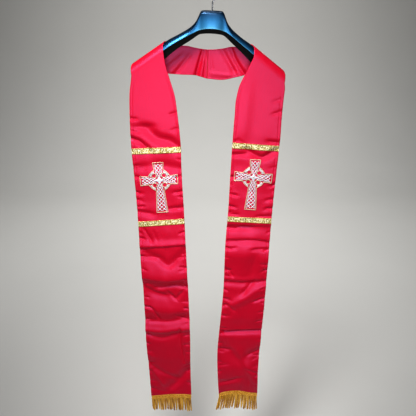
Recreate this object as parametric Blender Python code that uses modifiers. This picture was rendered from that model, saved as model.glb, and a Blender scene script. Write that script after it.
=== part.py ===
"""A red satin clerical stole, hung over a broad plastic hanger.

Metres, +Z up, front towards -Y. The origin is the inside top of the hanger's hook, where the
whole thing hangs, and every drop below is measured down from there. The tables are in
millimetres, with x measured from the middle of the hanger's arms. Left and right are as seen
from the front.
"""

import math

import bmesh
import bpy
import numpy as np
from mathutils import Vector

MM = 0.001

# Cloth and seams
WALL = 2.0                 # satin, lining and interlining together
SEAM_GAP = 0.3             # between pieces that are sewn together
ACROSS = 10                # cells across a panel
ROW_STEP = 13.5            # length of a cell down a panel
WRAP_STEPS = 12            # cells over the hanger's arm
BACK_STEPS = 16            # cells from the arm to the centre back seam

# Hanger, as it would be if it hung level
HANG_TILT = math.radians(2.3)      # it hangs a little lower on the right
ARM_SLOPE = math.radians(35.0)
ARM_RADIUS = 20.0
ARM_AXIS_AT = (110.0, -167.2)      # a point that the arm's axis passes through: out, up
NECK_ASIDE = 5.5                   # the neck and the hook stand this far right of the arms' middle
# The wall's flat cells cut inside the round that they follow, so its radius allows for that.
WRAP_RADIUS = (ARM_RADIUS + SEAM_GAP) / math.cos(math.pi / 2 / WRAP_STEPS) + WALL / 2

# Outer and inner edge of each strip where it meets the front of the arm: x.
MEETS_ARM = {"left": (-197.5, -116.2), "right": (183.5, 104.0)}
# How far the cloth drifts along the arm as it goes over, as a share of a straight cut's drift.
WRAP_DRIFT = 0.75

# The front edges of each side, from the hem up to just below the arm.
# Columns: drop of the outer edge, outer x, drop of the inner edge, inner x, sway towards the back.
FRONT_ROWS = {
    "left": [
        (1209.0, -190.0, 1197.0, -61.0, 3.0),
        (1110.0, -193.0, 1108.0, -63.0, 5.0),
        (993.0, -197.0, 993.0, -62.0, 1.0),
        (880.0, -196.5, 880.0, -64.0, 4.0),
        (720.0, -200.0, 720.0, -69.0, 0.0),
        (552.0, -202.5, 552.0, -74.5, 3.0),
        (462.0, -205.5, 462.0, -78.0, 1.5),
        (376.0, -208.5, 376.0, -79.5, 0.0),
        (316.0, -207.5, 308.0, -85.5, 0.0),
        (281.0, -206.0, 262.0, -91.5, 0.0),
        (254.0, -204.0, 222.0, -103.0, 0.0),
        (234.0, -200.5, 190.0, -112.0, 0.0),
    ],
    "right": [
        (1192.0, 151.0, 1192.0, 27.0, 4.0),
        (1113.0, 149.5, 1113.0, 22.5, 1.0),
        (1052.0, 152.0, 1052.0, 21.5, 5.0),
        (936.0, 157.0, 936.0, 29.0, 0.0),
        (826.0, 161.5, 826.0, 37.5, 3.0),
        (672.0, 166.0, 672.0, 41.5, 1.0),
        (575.0, 169.5, 575.0, 48.0, 3.0),
        (462.0, 175.0, 462.0, 52.5, 1.5),
        (376.0, 180.0, 376.0, 56.5, 0.0),
        (320.0, 181.0, 312.0, 60.5, 0.0),
        (286.0, 182.5, 268.0, 64.0, 0.0),
        (262.0, 184.0, 232.0, 74.0, 0.0),
        (246.0, 185.0, 203.0, 89.0, 0.0),
    ],
}

# The neck piece behind the arms, from the arm to the centre back seam.
# Columns: upper edge x, drop, depth, then lower edge x, drop, depth.
BACK_ROWS = {
    "left": [
        (-62.0, 145.5, 23.5, -122.0, 211.0, 23.0),
        (-42.0, 149.5, 24.5, -80.0, 215.5, 26.0),
        (-22.0, 153.0, 25.0, -42.0, 217.5, 29.0),
        (-7.0, 154.5, 25.0, -10.5, 226.0, 31.0),
    ],
    "right": [
        (50.0, 148.0, 23.5, 104.0, 214.0, 23.0),
        (33.0, 151.5, 24.5, 64.0, 222.5, 27.0),
        (12.0, 154.0, 25.0, 30.0, 229.0, 30.0),
        (-7.0, 154.5, 25.0, -10.5, 226.0, 31.0),
    ],
}

# The largest folds of the front strips, as soft troughs (or ridges, if negative) across the cloth.
# Columns: drop, share of the width where it is deepest, fall per mm outward, depth, half breadth, reach.
FRONT_FOLDS = {
    "left": [
        (352.0, 0.45, -0.18, 1.6, 16.0, 0.55),
        (640.0, 0.55, 0.25, 1.4, 15.0, 0.40),
        (704.0, 0.50, 0.04, 1.8, 12.0, 0.80),
        (765.0, 0.30, -0.55, 2.0, 16.0, 0.45),
        (812.0, 0.35, 0.05, 1.8, 14.0, 0.60),
        (900.0, 0.50, 0.00, 2.4, 15.0, 0.80),
        (950.0, 0.45, 0.02, -2.2, 13.0, 0.80),
        (978.0, 0.60, 0.05, 2.6, 12.0, 0.80),
        (1085.0, 0.55, 0.30, 2.0, 18.0, 0.55),
        (1160.0, 0.20, 0.50, 2.6, 16.0, 0.45),
    ],
    "right": [
        (352.0, 0.55, 0.12, 1.4, 16.0, 0.50),
        (625.0, 0.20, 0.15, 1.6, 14.0, 0.40),
        (680.0, 0.50, 0.00, 1.8, 12.0, 0.80),
        (740.0, 0.70, 0.40, 2.0, 17.0, 0.40),
        (790.0, 0.50, 0.02, 2.2, 12.0, 0.80),
        (845.0, 0.55, -0.35, -1.8, 18.0, 0.50),
        (900.0, 0.60, 0.20, 1.6, 18.0, 0.50),
        (962.0, 0.50, -0.02, 3.0, 12.0, 0.90),
        (985.0, 0.50, -0.02, -2.4, 12.0, 0.90),
        (1055.0, 0.55, 0.05, 2.6, 16.0, 0.50),
        (1130.0, 0.60, -0.50, 2.4, 17.0, 0.50),
    ],
}

# The pleats of the neck piece, deeper towards its lower edge.
# Columns: place along the upper edge, place along the lower edge, depth, half breadth;
# places run from 0 at the arm to 1 at the centre back seam.
BACK_PLEATS = {
    "left": [
        (0.30, 0.34, 2.4, 0.070),
        (0.60, 0.62, -2.0, 0.070),
        (0.86, 0.80, 3.4, 0.050),
        (0.97, 0.92, -2.2, 0.050),
    ],
    "right": [
        (0.25, 0.30, 2.6, 0.070),
        (0.42, 0.52, -2.4, 0.070),
        (0.62, 0.72, 3.0, 0.060),
        (0.84, 0.90, -2.0, 0.060),
    ],
}

# Metallic trim bands, sewn across both strips.
TRIM_WIDTH = 15.0
TRIM_THICK = 1.0
TRIM_CELLS = 12
# Columns: drop of the middle at the outer edge, and at the inner edge.
TRIMS = {
    "trim_left_upper": ("left", 406.5, 402.0),
    "trim_left_lower": ("left", 612.5, 603.5),
    "trim_right_upper": ("right", 399.5, 390.0),
    "trim_right_lower": ("right", 603.0, 597.0),
}

# Embroidered ringed crosses
CROSS_THICK = 1.2
CROSS_CELL = 24.0
CROSS_HALF_SPAN = 52.5
CROSS_ABOVE = 52.0
CROSS_BELOW = 93.0
CROSS_WAIST = 9.5          # half width of the limbs where they meet
CROSS_RING_OUTER = 31.5
CROSS_RING_INNER = 21.0
# Half width of each limb at its end: right, top, left, foot
CROSS_END_HALF = (14.0, 15.0, 14.0, 16.5)
# Columns: side, middle of the ring x, drop, lean
CROSSES = {
    "cross_left": ("left", -137.8, 485.0, math.radians(-3.2)),
    "cross_right": ("right", 114.5, 477.0, math.radians(4.0)),
}

# Fringes: a rope heading below the hem, with loose strands
HEADING_HEIGHT = 14.0
HEADING_THICK = 4.4
STRANDS = 40
STRAND_SHARE = 0.62        # width of a strand, as a share of its pitch
STRAND_STEPS = 3
# Columns: drop of the strands' ends, how far they spread at the inner and at the outer end
FRINGES = {"left": (1263.0, 1.5, -1.0), "right": (1259.0, -12.0, 1.0)}

# Sections of the hanger's body, from the middle of the neck out to the tip.
# Columns: out, top, front rim, back rim, half depth.
HANGER_SECTIONS = [
    (0.0, -65.0, -107.0, -117.0, 14.0),
    (12.0, -65.0, -107.8, -117.4, 14.0),
    (20.0, -65.6, -109.4, -118.4, 14.0),
    (24.5, -67.2, -110.6, -119.2, 14.0),
    (27.5, -71.5, -111.4, -120.2, 14.2),
    (31.0, -79.0, -112.6, -121.8, 14.5),
    (36.0, -88.5, -114.6, -125.0, 15.0),
    (43.0, -97.6, -118.0, -129.8, 15.6),
    (52.0, -105.6, -123.0, -136.2, 16.4),
    (66.0, -115.6, -131.8, -146.0, 17.6),
    (82.0, -125.6, -142.0, -157.8, 18.8),
    (98.0, -134.6, -152.8, -171.4, 19.7),
    (110.0, -142.8, -161.2, -182.0, 20.0),
    (126.0, -154.0, -172.4, -196.0, 20.0),
    (145.0, -167.3, -185.7, -209.0, 20.0),
    (162.0, -179.2, -197.6, -219.5, 19.8),
    (173.0, -187.6, -205.6, -225.0, 18.6),
    (180.0, -195.0, -210.6, -226.0, 15.2),
    (184.0, -204.0, -214.0, -222.0, 9.0),
]
SECTION_ARC = 9
SECTION_RISE = 1 / math.cos(ARM_SLOPE)
RIM = 3.0                  # width of the body's rims
CHANNEL = 5.0              # depth of the channel in the underside
NECK_BLEND = 98.0          # out to here the body leans towards its neck

# Hook: wire bent in one plane, from the neck's top round to its tip
HOOK_WIRE = 1.7
HOOK_INSIDE = 19.0
HOOK_SHANK_TOP = 47.0
NECK_TOP = -HANGER_SECTIONS[0][1]
HOOK_TURN = math.radians(245.0)
HOOK_START = math.radians(-52.0)

RED_SATIN = (0.70, 0.02, 0.07)
GOLD_TRIM = (0.82, 0.68, 0.25)
SILVER_THREAD = (0.62, 0.60, 0.66)
GOLD_FRINGE = (0.66, 0.40, 0.05)
BLUE_PLASTIC = (0.03, 0.13, 0.27)
STEEL = (0.60, 0.60, 0.62)


def clear_scene():
    for obj in list(bpy.data.objects):
        bpy.data.objects.remove(obj, do_unlink=True)


def make_material(name, colour, roughness, metallic):
    material = bpy.data.materials.new(name)
    material.use_nodes = True
    shader = material.node_tree.nodes["Principled BSDF"]
    shader.inputs["Base Color"].default_value = (*colour, 1.0)
    shader.inputs["Roughness"].default_value = roughness
    shader.inputs["Metallic"].default_value = metallic
    return material


def add_object(name, mesh, collection, material):
    obj = bpy.data.objects.new(name, mesh)
    collection.objects.link(obj)
    obj.location.x = -NECK_ASIDE * MM
    mesh.materials.clear()
    mesh.materials.append(material)
    return obj


def thicken(obj, thickness):
    """A wall of this thickness, half to each side of the sheet."""
    wall = obj.modifiers.new("wall", "SOLIDIFY")
    wall.thickness = thickness * MM
    wall.offset = 0.0
    wall.use_even_offset = True


def smooth_between(knots, values, at):
    """A cubic through the values, with the slope at each knot worked out from its neighbours."""
    slopes = np.gradient(values, knots)
    index = int(np.clip(np.searchsorted(knots, at) - 1, 0, len(knots) - 2))
    length = knots[index + 1] - knots[index]
    share = (at - knots[index]) / length
    rise = values[index + 1] - values[index]
    start = slopes[index] * length
    end = slopes[index + 1] * length
    bend = share * (1 - share) * (start * (1 - share) - end * share + rise * (2 * share - 1))
    return values[index] + rise * share + bend


def soft_step(value, start, end):
    """0 before start, 1 after end, and a smooth rise between them."""
    share = min(max((value - start) / (end - start), 0.0), 1.0)
    return share * share * (3 - 2 * share)


def arm_direction(side):
    """Unit vector along the arm towards the neck, the one square to it that points up, and its slope."""
    inward = -1.0 if side == "right" else 1.0
    slope = ARM_SLOPE - inward * HANG_TILT
    along = Vector((inward * math.cos(slope), 0.0, math.sin(slope)))
    up = Vector((-inward * math.sin(slope), 0.0, math.cos(slope)))
    return along, up, slope


def arm_drop(side, x):
    """Drop of the arm's axis at this x, with the hanger tilted."""
    out, up = ARM_AXIS_AT
    if side == "left":
        out = -out
    axis_x = out * math.cos(HANG_TILT) + up * math.sin(HANG_TILT)
    axis_drop = out * math.sin(HANG_TILT) - up * math.cos(HANG_TILT)
    _, _, slope = arm_direction(side)
    return axis_drop + (abs(x) - abs(axis_x)) * math.tan(slope)


def front_rows(side):
    """The table of the side's edges from the arm down, with the row where the cloth meets the arm."""
    outer_x, inner_x = MEETS_ARM[side]
    first = (arm_drop(side, outer_x), outer_x, arm_drop(side, inner_x), inner_x, 0.0)
    return np.array([first, *FRONT_ROWS[side][::-1]])


def front_edges(side, drop):
    """Outer x, inner drop, inner x and sway of the strip where its outer edge is at this drop."""
    rows = front_rows(side)
    return [smooth_between(rows[:, 0], rows[:, column], drop) for column in (1, 2, 3, 4)]


def front_fold_depth(side, drop, across, width):
    """How far the strip's folds push it back at this place."""
    depth = 0.0
    for fold_drop, middle, fall, fold_depth, breadth, reach in FRONT_FOLDS[side]:
        away = drop - fold_drop - fall * (across - middle) * width
        fade = math.exp(-(((across - middle) / reach) ** 4))
        depth += fold_depth * fade * math.exp(-((away / breadth) ** 2))
    return depth


def front_point(side, drop, across):
    """A point of the front strip, in mm: drop is the outer edge's, across runs from inner to outer."""
    outer_x, inner_drop, inner_x, sway = front_edges(side, drop)
    x = inner_x + (outer_x - inner_x) * across
    here = inner_drop + (drop - inner_drop) * across
    depth = sway + front_fold_depth(side, here, across, abs(outer_x - inner_x))
    fold_drop = front_rows(side)[0, 0]
    return Vector((x, depth * soft_step(drop, fold_drop, fold_drop + 70.0) - WRAP_RADIUS, -here))


def wrap_point(side, turn, across):
    """A point of the cloth over the arm: turn runs from 0 in front to pi behind."""
    along, up, slope = arm_direction(side)
    start = front_point(side, front_rows(side)[0, 0], across)
    start.y = 0.0
    around = Vector((0.0, -math.cos(turn), 0.0)) + up * math.sin(turn)
    drift = WRAP_DRIFT * WRAP_RADIUS * turn * math.tan(slope)
    return start + around * WRAP_RADIUS + along * drift


def back_point(side, place, across):
    """A point of the neck piece: place runs from 0 at the arm to 1 at the centre back seam."""
    upper = wrap_point(side, math.pi, 0.0)
    lower = wrap_point(side, math.pi, 1.0)
    rows = [(upper.x, -upper.z, upper.y, lower.x, -lower.z, lower.y), *BACK_ROWS[side]]
    columns = np.array(rows).T
    knots = np.linspace(0.0, 1.0, len(rows))
    x1, drop1, depth1, x2, drop2, depth2 = (smooth_between(knots, column, place) for column in columns)
    point = Vector((x1, depth1, -drop1)).lerp(Vector((x2, depth2, -drop2)), across)
    for above, below, depth, breadth in BACK_PLEATS[side]:
        away = (place - above - (below - above) * across) / breadth
        fade = soft_step(1.0 - place, 0.0, 0.10) * (0.25 + 0.75 * across)
        point.y += depth * fade * math.exp(-away * away)
    inward = -1.0 if side == "right" else 1.0
    point.x -= inward * soft_step(place, 0.8, 1.0) * SEAM_GAP * 0.6
    return point


def panel_rows(side):
    """The rows of points of one panel, from the hem over the arm to the centre back."""
    hem = FRONT_ROWS[side][0][0]
    fold = front_rows(side)[0, 0]
    shares = np.linspace(0.0, 1.0, ACROSS + 1)
    rows = []
    for drop in np.linspace(hem, fold, round((hem - fold) / ROW_STEP) + 1):
        rows.append([front_point(side, drop, across) for across in shares])
    for turn in np.linspace(0.0, math.pi, WRAP_STEPS + 1)[1:]:
        rows.append([wrap_point(side, turn, across) for across in shares])
    for place in np.linspace(0.0, 1.0, BACK_STEPS + 1)[1:]:
        rows.append([back_point(side, place, across) for across in shares])
    return rows


def sheet_from_rows(name, rows):
    """An open mesh with one face between each four neighbouring points of the rows."""
    bm = bmesh.new()
    points = [[bm.verts.new(point * MM) for point in row] for row in rows]
    for low, high in zip(points, points[1:]):
        for index in range(len(low) - 1):
            bm.faces.new((low[index], low[index + 1], high[index + 1], high[index]))
    bmesh.ops.recalc_face_normals(bm, faces=bm.faces)
    mesh = bpy.data.meshes.new(name)
    bm.to_mesh(mesh)
    bm.free()
    mesh.shade_smooth()
    return mesh


def on_strip(side, x, drop, lift):
    """The place on the front strip's face at this x and drop, moved out towards the front."""
    outer_x, _, inner_x, _ = front_edges(side, drop)
    point = front_point(side, drop, (x - inner_x) / (outer_x - inner_x))
    return Vector((x, point.y - lift, -drop))


def build_panel(name, side, collection, material):
    obj = add_object(name, sheet_from_rows(name, panel_rows(side)), collection, material)
    thicken(obj, WALL)


def build_trim(name, collection, material):
    """A band of trim across one strip, sewn down along both its long edges."""
    side, outer_drop, inner_drop = TRIMS[name]
    lift = WALL / 2 + SEAM_GAP + TRIM_THICK / 2
    rows = []
    for part in (-0.5, 0.0, 0.5):
        row = []
        for across in np.linspace(0.003, 0.997, TRIM_CELLS + 1):
            drop = inner_drop + (outer_drop - inner_drop) * across + part * TRIM_WIDTH
            outer_x, _, inner_x, _ = front_edges(side, drop)
            row.append(on_strip(side, inner_x + (outer_x - inner_x) * across, drop, lift))
        rows.append(row)
    obj = add_object(name, sheet_from_rows(name, rows), collection, material)
    thicken(obj, TRIM_THICK)


def arc_points(radius, start, end, steps):
    angles = np.linspace(start, end, steps + 1)
    return [(radius * math.cos(angle), radius * math.sin(angle)) for angle in angles]


def cross_outline():
    """The ringed cross's outline and its four holes, as lists of (x, y) round the ring's middle."""
    reach = (CROSS_HALF_SPAN, CROSS_ABOVE, CROSS_HALF_SPAN, CROSS_BELOW)
    outer = []
    holes = []
    for limb in range(4):
        turn = limb * math.pi / 2
        following = (limb + 1) % 4
        flare = (CROSS_END_HALF[limb] - CROSS_WAIST) / reach[limb]
        next_flare = (CROSS_END_HALF[following] - CROSS_WAIST) / reach[following]
        leave = math.asin((CROSS_WAIST + flare * CROSS_RING_OUTER) / CROSS_RING_OUTER)
        meet = math.asin((CROSS_WAIST + next_flare * CROSS_RING_OUTER) / CROSS_RING_OUTER)
        limb_end = [(reach[limb], -CROSS_END_HALF[limb]), (reach[limb], CROSS_END_HALF[limb])]
        ring = arc_points(CROSS_RING_OUTER, leave, math.pi / 2 - meet, 7)
        for x, y in limb_end + ring:
            outer.append((x * math.cos(turn) - y * math.sin(turn), x * math.sin(turn) + y * math.cos(turn)))
        leave = math.asin((CROSS_WAIST + flare * CROSS_RING_INNER) / CROSS_RING_INNER)
        meet = math.asin((CROSS_WAIST + next_flare * CROSS_RING_INNER) / CROSS_RING_INNER)
        hole = arc_points(CROSS_RING_INNER, leave, math.pi / 2 - meet, 5)
        hole.append((CROSS_WAIST, CROSS_WAIST))
        holes.append([(x * math.cos(turn) - y * math.sin(turn), x * math.sin(turn) + y * math.cos(turn))
                      for x, y in hole])
    return outer, holes


def build_cross(name, collection, material):
    """Cut from the outline as a flat plate, divided into cells, then laid on the strip."""
    side, middle_x, middle_drop, lean = CROSSES[name]
    curve = bpy.data.curves.new(name, "CURVE")
    curve.dimensions = "2D"
    curve.fill_mode = "BOTH"
    curve.extrude = CROSS_THICK / 2
    outer, holes = cross_outline()
    for outline in (outer, *holes):
        spline = curve.splines.new("POLY")
        spline.points.add(len(outline) - 1)
        spline.use_cyclic_u = True
        for point, (x, y) in zip(spline.points, outline):
            point.co = (x, y, 0.0, 1.0)
    pattern = bpy.data.objects.new(name + "_pattern", curve)
    collection.objects.link(pattern)
    mesh = bpy.data.meshes.new_from_object(pattern.evaluated_get(bpy.context.evaluated_depsgraph_get()))
    bpy.data.objects.remove(pattern)

    bm = bmesh.new()
    bm.from_mesh(mesh)
    bmesh.ops.remove_doubles(bm, verts=bm.verts, dist=0.001)
    lines = np.arange(-CROSS_BELOW, CROSS_BELOW, CROSS_CELL)
    for axis in (Vector((1.0, 0.0, 0.0)), Vector((0.0, 1.0, 0.0))):
        for line in lines:
            everything = bm.verts[:] + bm.edges[:] + bm.faces[:]
            bmesh.ops.bisect_plane(bm, geom=everything, dist=0.02, plane_co=axis * line, plane_no=axis)
    bmesh.ops.recalc_face_normals(bm, faces=bm.faces)
    middle_lift = WALL / 2 + SEAM_GAP + CROSS_THICK / 2
    for vert in bm.verts:
        x = vert.co.x * math.cos(lean) + vert.co.y * math.sin(lean)
        up = vert.co.y * math.cos(lean) - vert.co.x * math.sin(lean)
        vert.co = on_strip(side, middle_x + x, middle_drop - up, middle_lift + vert.co.z) * MM
    bm.to_mesh(mesh)
    bm.free()
    add_object(name, mesh, collection, material)


def fringe_ring(point, half_width, half_thick):
    corners = ((-half_width, -half_thick), (half_width, -half_thick), (half_width, half_thick),
               (-half_width, half_thick))
    return [Vector((point.x + x, point.y + y, point.z)) * MM for x, y in corners]


def build_fringe(name, side, collection, material):
    """The heading is one block below the hem, and every second cell of its underside grows a strand."""
    hem = FRONT_ROWS[side][0][0]
    end_drop, spread_inner, spread_outer = FRINGES[side]
    cells = 2 * STRANDS - 1
    pitch = 1.0 / (STRANDS - 1 + STRAND_SHARE)
    breaks = []
    for strand in range(STRANDS):
        breaks += [strand * pitch, (strand + STRAND_SHARE) * pitch]
    half_thick = HEADING_THICK / 2
    bm = bmesh.new()
    columns = []
    for share in breaks:
        top = front_point(side, hem, 0.004 + 0.992 * share)
        top.z -= SEAM_GAP
        foot = top - Vector((0.0, 0.0, HEADING_HEIGHT))
        ring = [top + Vector((0.0, -half_thick, 0.0)), foot + Vector((0.0, -half_thick, 0.0)),
                foot + Vector((0.0, half_thick, 0.0)), top + Vector((0.0, half_thick, 0.0))]
        columns.append([bm.verts.new(point * MM) for point in ring])
    bm.faces.new(columns[0])
    bm.faces.new(columns[-1][::-1])
    roots = []
    for cell in range(cells):
        here = columns[cell]
        after = columns[cell + 1]
        for corner in range(4):
            following = (corner + 1) % 4
            face = bm.faces.new((here[corner], after[corner], after[following], here[following]))
            if corner == 1 and cell % 2 == 0:
                roots.append((cell // 2, face))
    for strand, face in roots:
        share = strand / (STRANDS - 1)
        spread = spread_inner + (spread_outer - spread_inner) * share
        root_drop = -face.calc_center_median().z / MM
        length = end_drop - root_drop + 2.2 * math.sin(strand * 2.4) + 1.4 * math.sin(strand * 0.9)
        swing = 0.8 * math.sin(strand * 1.7)
        for step in range(STRAND_STEPS):
            grown = bmesh.ops.extrude_discrete_faces(bm, faces=[face])
            face = grown["faces"][0]
            shrink = 0.93 if step < STRAND_STEPS - 1 else 0.6
            middle = face.calc_center_median()
            fall = Vector((spread / STRAND_STEPS, swing / STRAND_STEPS, -length / STRAND_STEPS)) * MM
            for vert in face.verts:
                vert.co = middle + (vert.co - middle) * shrink + fall
    bmesh.ops.recalc_face_normals(bm, faces=bm.faces)
    mesh = bpy.data.meshes.new(name)
    bm.to_mesh(mesh)
    bm.free()
    add_object(name, mesh, collection, material)


def hanger_ring(section, hand):
    """The points of one upright section: front rim, over the top, back rim, and the channel below."""
    out, top, front_rim, back_rim, half_depth = section
    x = hand * out + NECK_ASIDE * (1.0 - soft_step(out, 30.0, NECK_BLEND))
    rise = half_depth * SECTION_RISE
    middle = top - rise
    start_height = max(front_rim + 1.5, middle)
    start = math.asin(min((start_height - middle) / rise, 0.95))
    ring = [(-half_depth * math.cos(start), front_rim)]
    for turn in np.linspace(start, math.pi, SECTION_ARC):
        ring.append((-half_depth * math.cos(turn), middle + rise * math.sin(turn)))
    ceiling = front_rim + CHANNEL
    rim = min(RIM, half_depth / 2)
    front_inside = -half_depth * math.cos(start) + rim
    ring += [(half_depth, back_rim), (half_depth - rim, back_rim), (half_depth - rim - 1.0, ceiling),
             (front_inside + 1.0, ceiling), (front_inside, front_rim)]
    return [Vector((x, y, z)) for y, z in ring]


def build_hanger_body(collection, material):
    """A loft through the sections, mirrored, closed by a flat face at each tip."""
    rings = [hanger_ring(section, -1.0) for section in HANGER_SECTIONS[:0:-1]]
    rings += [hanger_ring(section, 1.0) for section in HANGER_SECTIONS]
    bm = bmesh.new()
    loops = [[bm.verts.new(point * MM) for point in ring] for ring in rings]
    for here, after in zip(loops, loops[1:]):
        for index in range(len(here)):
            following = (index + 1) % len(here)
            bm.faces.new((here[index], after[index], after[following], here[following]))
    bm.faces.new(loops[0])
    bm.faces.new(loops[-1][::-1])
    bmesh.ops.recalc_face_normals(bm, faces=bm.faces)
    mesh = bpy.data.meshes.new("hanger_body")
    bm.to_mesh(mesh)
    bm.free()
    mesh.shade_smooth()
    mesh.set_sharp_from_angle(angle=math.radians(40.0))
    obj = add_object("hanger_body", mesh, collection, material)
    obj.rotation_euler.y = HANG_TILT


def build_hook(collection, material):
    """Wire that rises from the neck, bends aside, and turns over into an open hook."""
    radius = HOOK_INSIDE + HOOK_WIRE
    inside_top = Vector((NECK_ASIDE * math.cos(HANG_TILT), 0.0, NECK_ASIDE * math.sin(HANG_TILT)))
    middle = inside_top - Vector((0.0, 0.0, HOOK_INSIDE))
    turn = [middle + Vector((radius * math.cos(angle), 0.0, radius * math.sin(angle)))
            for angle in np.linspace(HOOK_START, HOOK_START + HOOK_TURN, 22)]
    foot = Vector((inside_top.x, 0.0, -NECK_TOP + SEAM_GAP))
    shank = Vector((inside_top.x, 0.0, -HOOK_SHANK_TOP))
    bend = Vector((inside_top.x + 2.6, 0.0, (shank.z + turn[0].z) / 2 - 1.0))
    route = [foot, shank, shank.lerp(bend, 0.5) - Vector((0.5, 0.0, 0.0)), bend, *turn]
    curve = bpy.data.curves.new("hanger_hook", "CURVE")
    curve.dimensions = "3D"
    curve.bevel_depth = HOOK_WIRE * MM
    curve.bevel_resolution = 2
    curve.use_fill_caps = True
    spline = curve.splines.new("POLY")
    spline.points.add(len(route) - 1)
    for point, place in zip(spline.points, route):
        point.co = (*(place * MM), 1.0)
    obj = bpy.data.objects.new("hanger_hook", curve)
    collection.objects.link(obj)
    curve.materials.append(material)
    obj.location.x = -NECK_ASIDE * MM
    obj.rotation_euler.y = HANG_TILT


def main():
    clear_scene()
    collection = bpy.data.collections.new("clerical_stole")
    bpy.context.scene.collection.children.link(collection)
    satin = make_material("red_satin", RED_SATIN, 0.42, 0.0)
    galloon = make_material("gold_galloon", GOLD_TRIM, 0.35, 0.7)
    embroidery = make_material("silver_embroidery", SILVER_THREAD, 0.45, 0.2)
    fringe = make_material("gold_fringe", GOLD_FRINGE, 0.45, 0.3)
    plastic = make_material("blue_plastic", BLUE_PLASTIC, 0.18, 0.0)
    steel = make_material("bright_steel", STEEL, 0.25, 1.0)
    for side in ("left", "right"):
        build_panel("stole_panel_" + side, side, collection, satin)
    for name in TRIMS:
        build_trim(name, collection, galloon)
    for name in CROSSES:
        build_cross(name, collection, embroidery)
    for side in ("left", "right"):
        build_fringe("fringe_" + side, side, collection, fringe)
    build_hanger_body(collection, plastic)
    build_hook(collection, steel)


main()
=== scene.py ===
"""A red satin clerical stole over a broad plastic hanger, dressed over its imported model.

Metres, +Z up, front towards -Y, and the origin is the inside top of the hanger's hook. The tables
are in millimetres, with x from the middle of the hanger's arms and drops measured down from the
origin. Left and right are as seen from the front.
"""

import math

import bmesh
import bpy
import numpy as np
from mathutils import Matrix, Vector


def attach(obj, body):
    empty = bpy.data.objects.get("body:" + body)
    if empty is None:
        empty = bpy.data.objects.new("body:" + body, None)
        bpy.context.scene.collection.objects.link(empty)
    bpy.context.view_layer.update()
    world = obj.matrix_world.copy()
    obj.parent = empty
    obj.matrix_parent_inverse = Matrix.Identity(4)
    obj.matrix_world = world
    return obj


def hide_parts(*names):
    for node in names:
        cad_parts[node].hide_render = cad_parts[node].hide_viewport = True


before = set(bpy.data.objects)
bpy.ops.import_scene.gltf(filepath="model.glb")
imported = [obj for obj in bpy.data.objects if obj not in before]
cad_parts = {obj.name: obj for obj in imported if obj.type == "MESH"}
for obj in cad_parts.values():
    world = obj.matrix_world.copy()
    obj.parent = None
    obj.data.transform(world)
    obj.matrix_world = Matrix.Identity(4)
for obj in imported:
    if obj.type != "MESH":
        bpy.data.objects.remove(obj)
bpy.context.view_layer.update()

# The studio: a painted floor that curves up into a wall far behind. A key lamp above, a soft box and
# a card in front, a lamp behind and a wash on the wall light it. The camera hangs level with the
# hanger's neck and looks down along the stole.
MM = 0.001
FLOOR_DROP = 1620.0
FLOOR_REACH = 7.0
COVE_FROM = 3.2
COVE_RADIUS = 1.6
COVE_STEPS = 12
WALL_TOP = 3.0
CAMERA_AT = (-0.013, -1.2, -0.135)
CAMERA_TILT = math.radians(70.0)
PHOTO_SIZE = 416.0
PHOTO_FOCAL = 458.0        # focal length in pixels of the square picture
SENSOR = 36.0
PALE_FLOOR = "#D9D8D4"


def colour(code):
    """The linear colour of an sRGB code such as #A01020."""
    shares = [int(code[start:start + 2], 16) / 255 for start in (1, 3, 5)]
    linear = [share / 12.92 if share <= 0.04045 else ((share + 0.055) / 1.055) ** 2.4 for share in shares]
    return (*linear, 1.0)


def add_node(material, kind, inputs=None, **settings):
    """Adds a shader node.

    inputs gives a socket a value, an sRGB code, an output to link it from, or a node whose first
    output it is linked from. A Mix node blends its sockets 6 and 7. A MapRange node goes from its
    sockets 1 and 2 to 3 and 4.
    """
    node = material.node_tree.nodes.new("ShaderNode" + kind)
    for name, value in settings.items():
        setattr(node, name, value)
    for socket, value in (inputs or {}).items():
        if isinstance(value, bpy.types.Node):
            value = value.outputs[0]
        elif isinstance(value, str):
            value = colour(value)
        if isinstance(value, bpy.types.NodeSocket):
            material.node_tree.links.new(value, node.inputs[socket])
        else:
            node.inputs[socket].default_value = value
    return node


def new_material(name):
    """A material with no nodes yet."""
    material = bpy.data.materials.new(name)
    material.use_nodes = True
    material.node_tree.nodes.clear()
    return material


def add_object(name, data, *materials):
    """An object in the scene for a mesh, curve, lamp or camera, which stands at the origin."""
    obj = bpy.data.objects.new(name, data)
    bpy.context.scene.collection.objects.link(obj)
    if materials:
        data.materials.clear()
    for material in materials:
        data.materials.append(material)
    return obj


def smooth_mesh(name, bm):
    """The bmesh's shape as a mesh, shaded smooth."""
    mesh = bpy.data.meshes.new(name)
    bm.to_mesh(mesh)
    bm.free()
    mesh.shade_smooth()
    return mesh


# Matt emulsion paint, rolled on board: flat and even, with no shine.
floor_paint = new_material("matt_studio_paint")
place = add_node(floor_paint, "TexCoord")
mottle = add_node(floor_paint, "TexNoise", {"Vector": place.outputs["Object"], "Scale": 2.0, "Detail": 2.0})
shade = add_node(floor_paint, "Mix", {0: mottle, 6: PALE_FLOOR, 7: "#D4D3CF"}, data_type="RGBA")
paint = add_node(floor_paint, "BsdfPrincipled", {"Base Color": shade.outputs[2], "Roughness": 0.9,
                                                 "Specular IOR Level": 0.2})
add_node(floor_paint, "OutputMaterial", {"Surface": paint})

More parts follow.
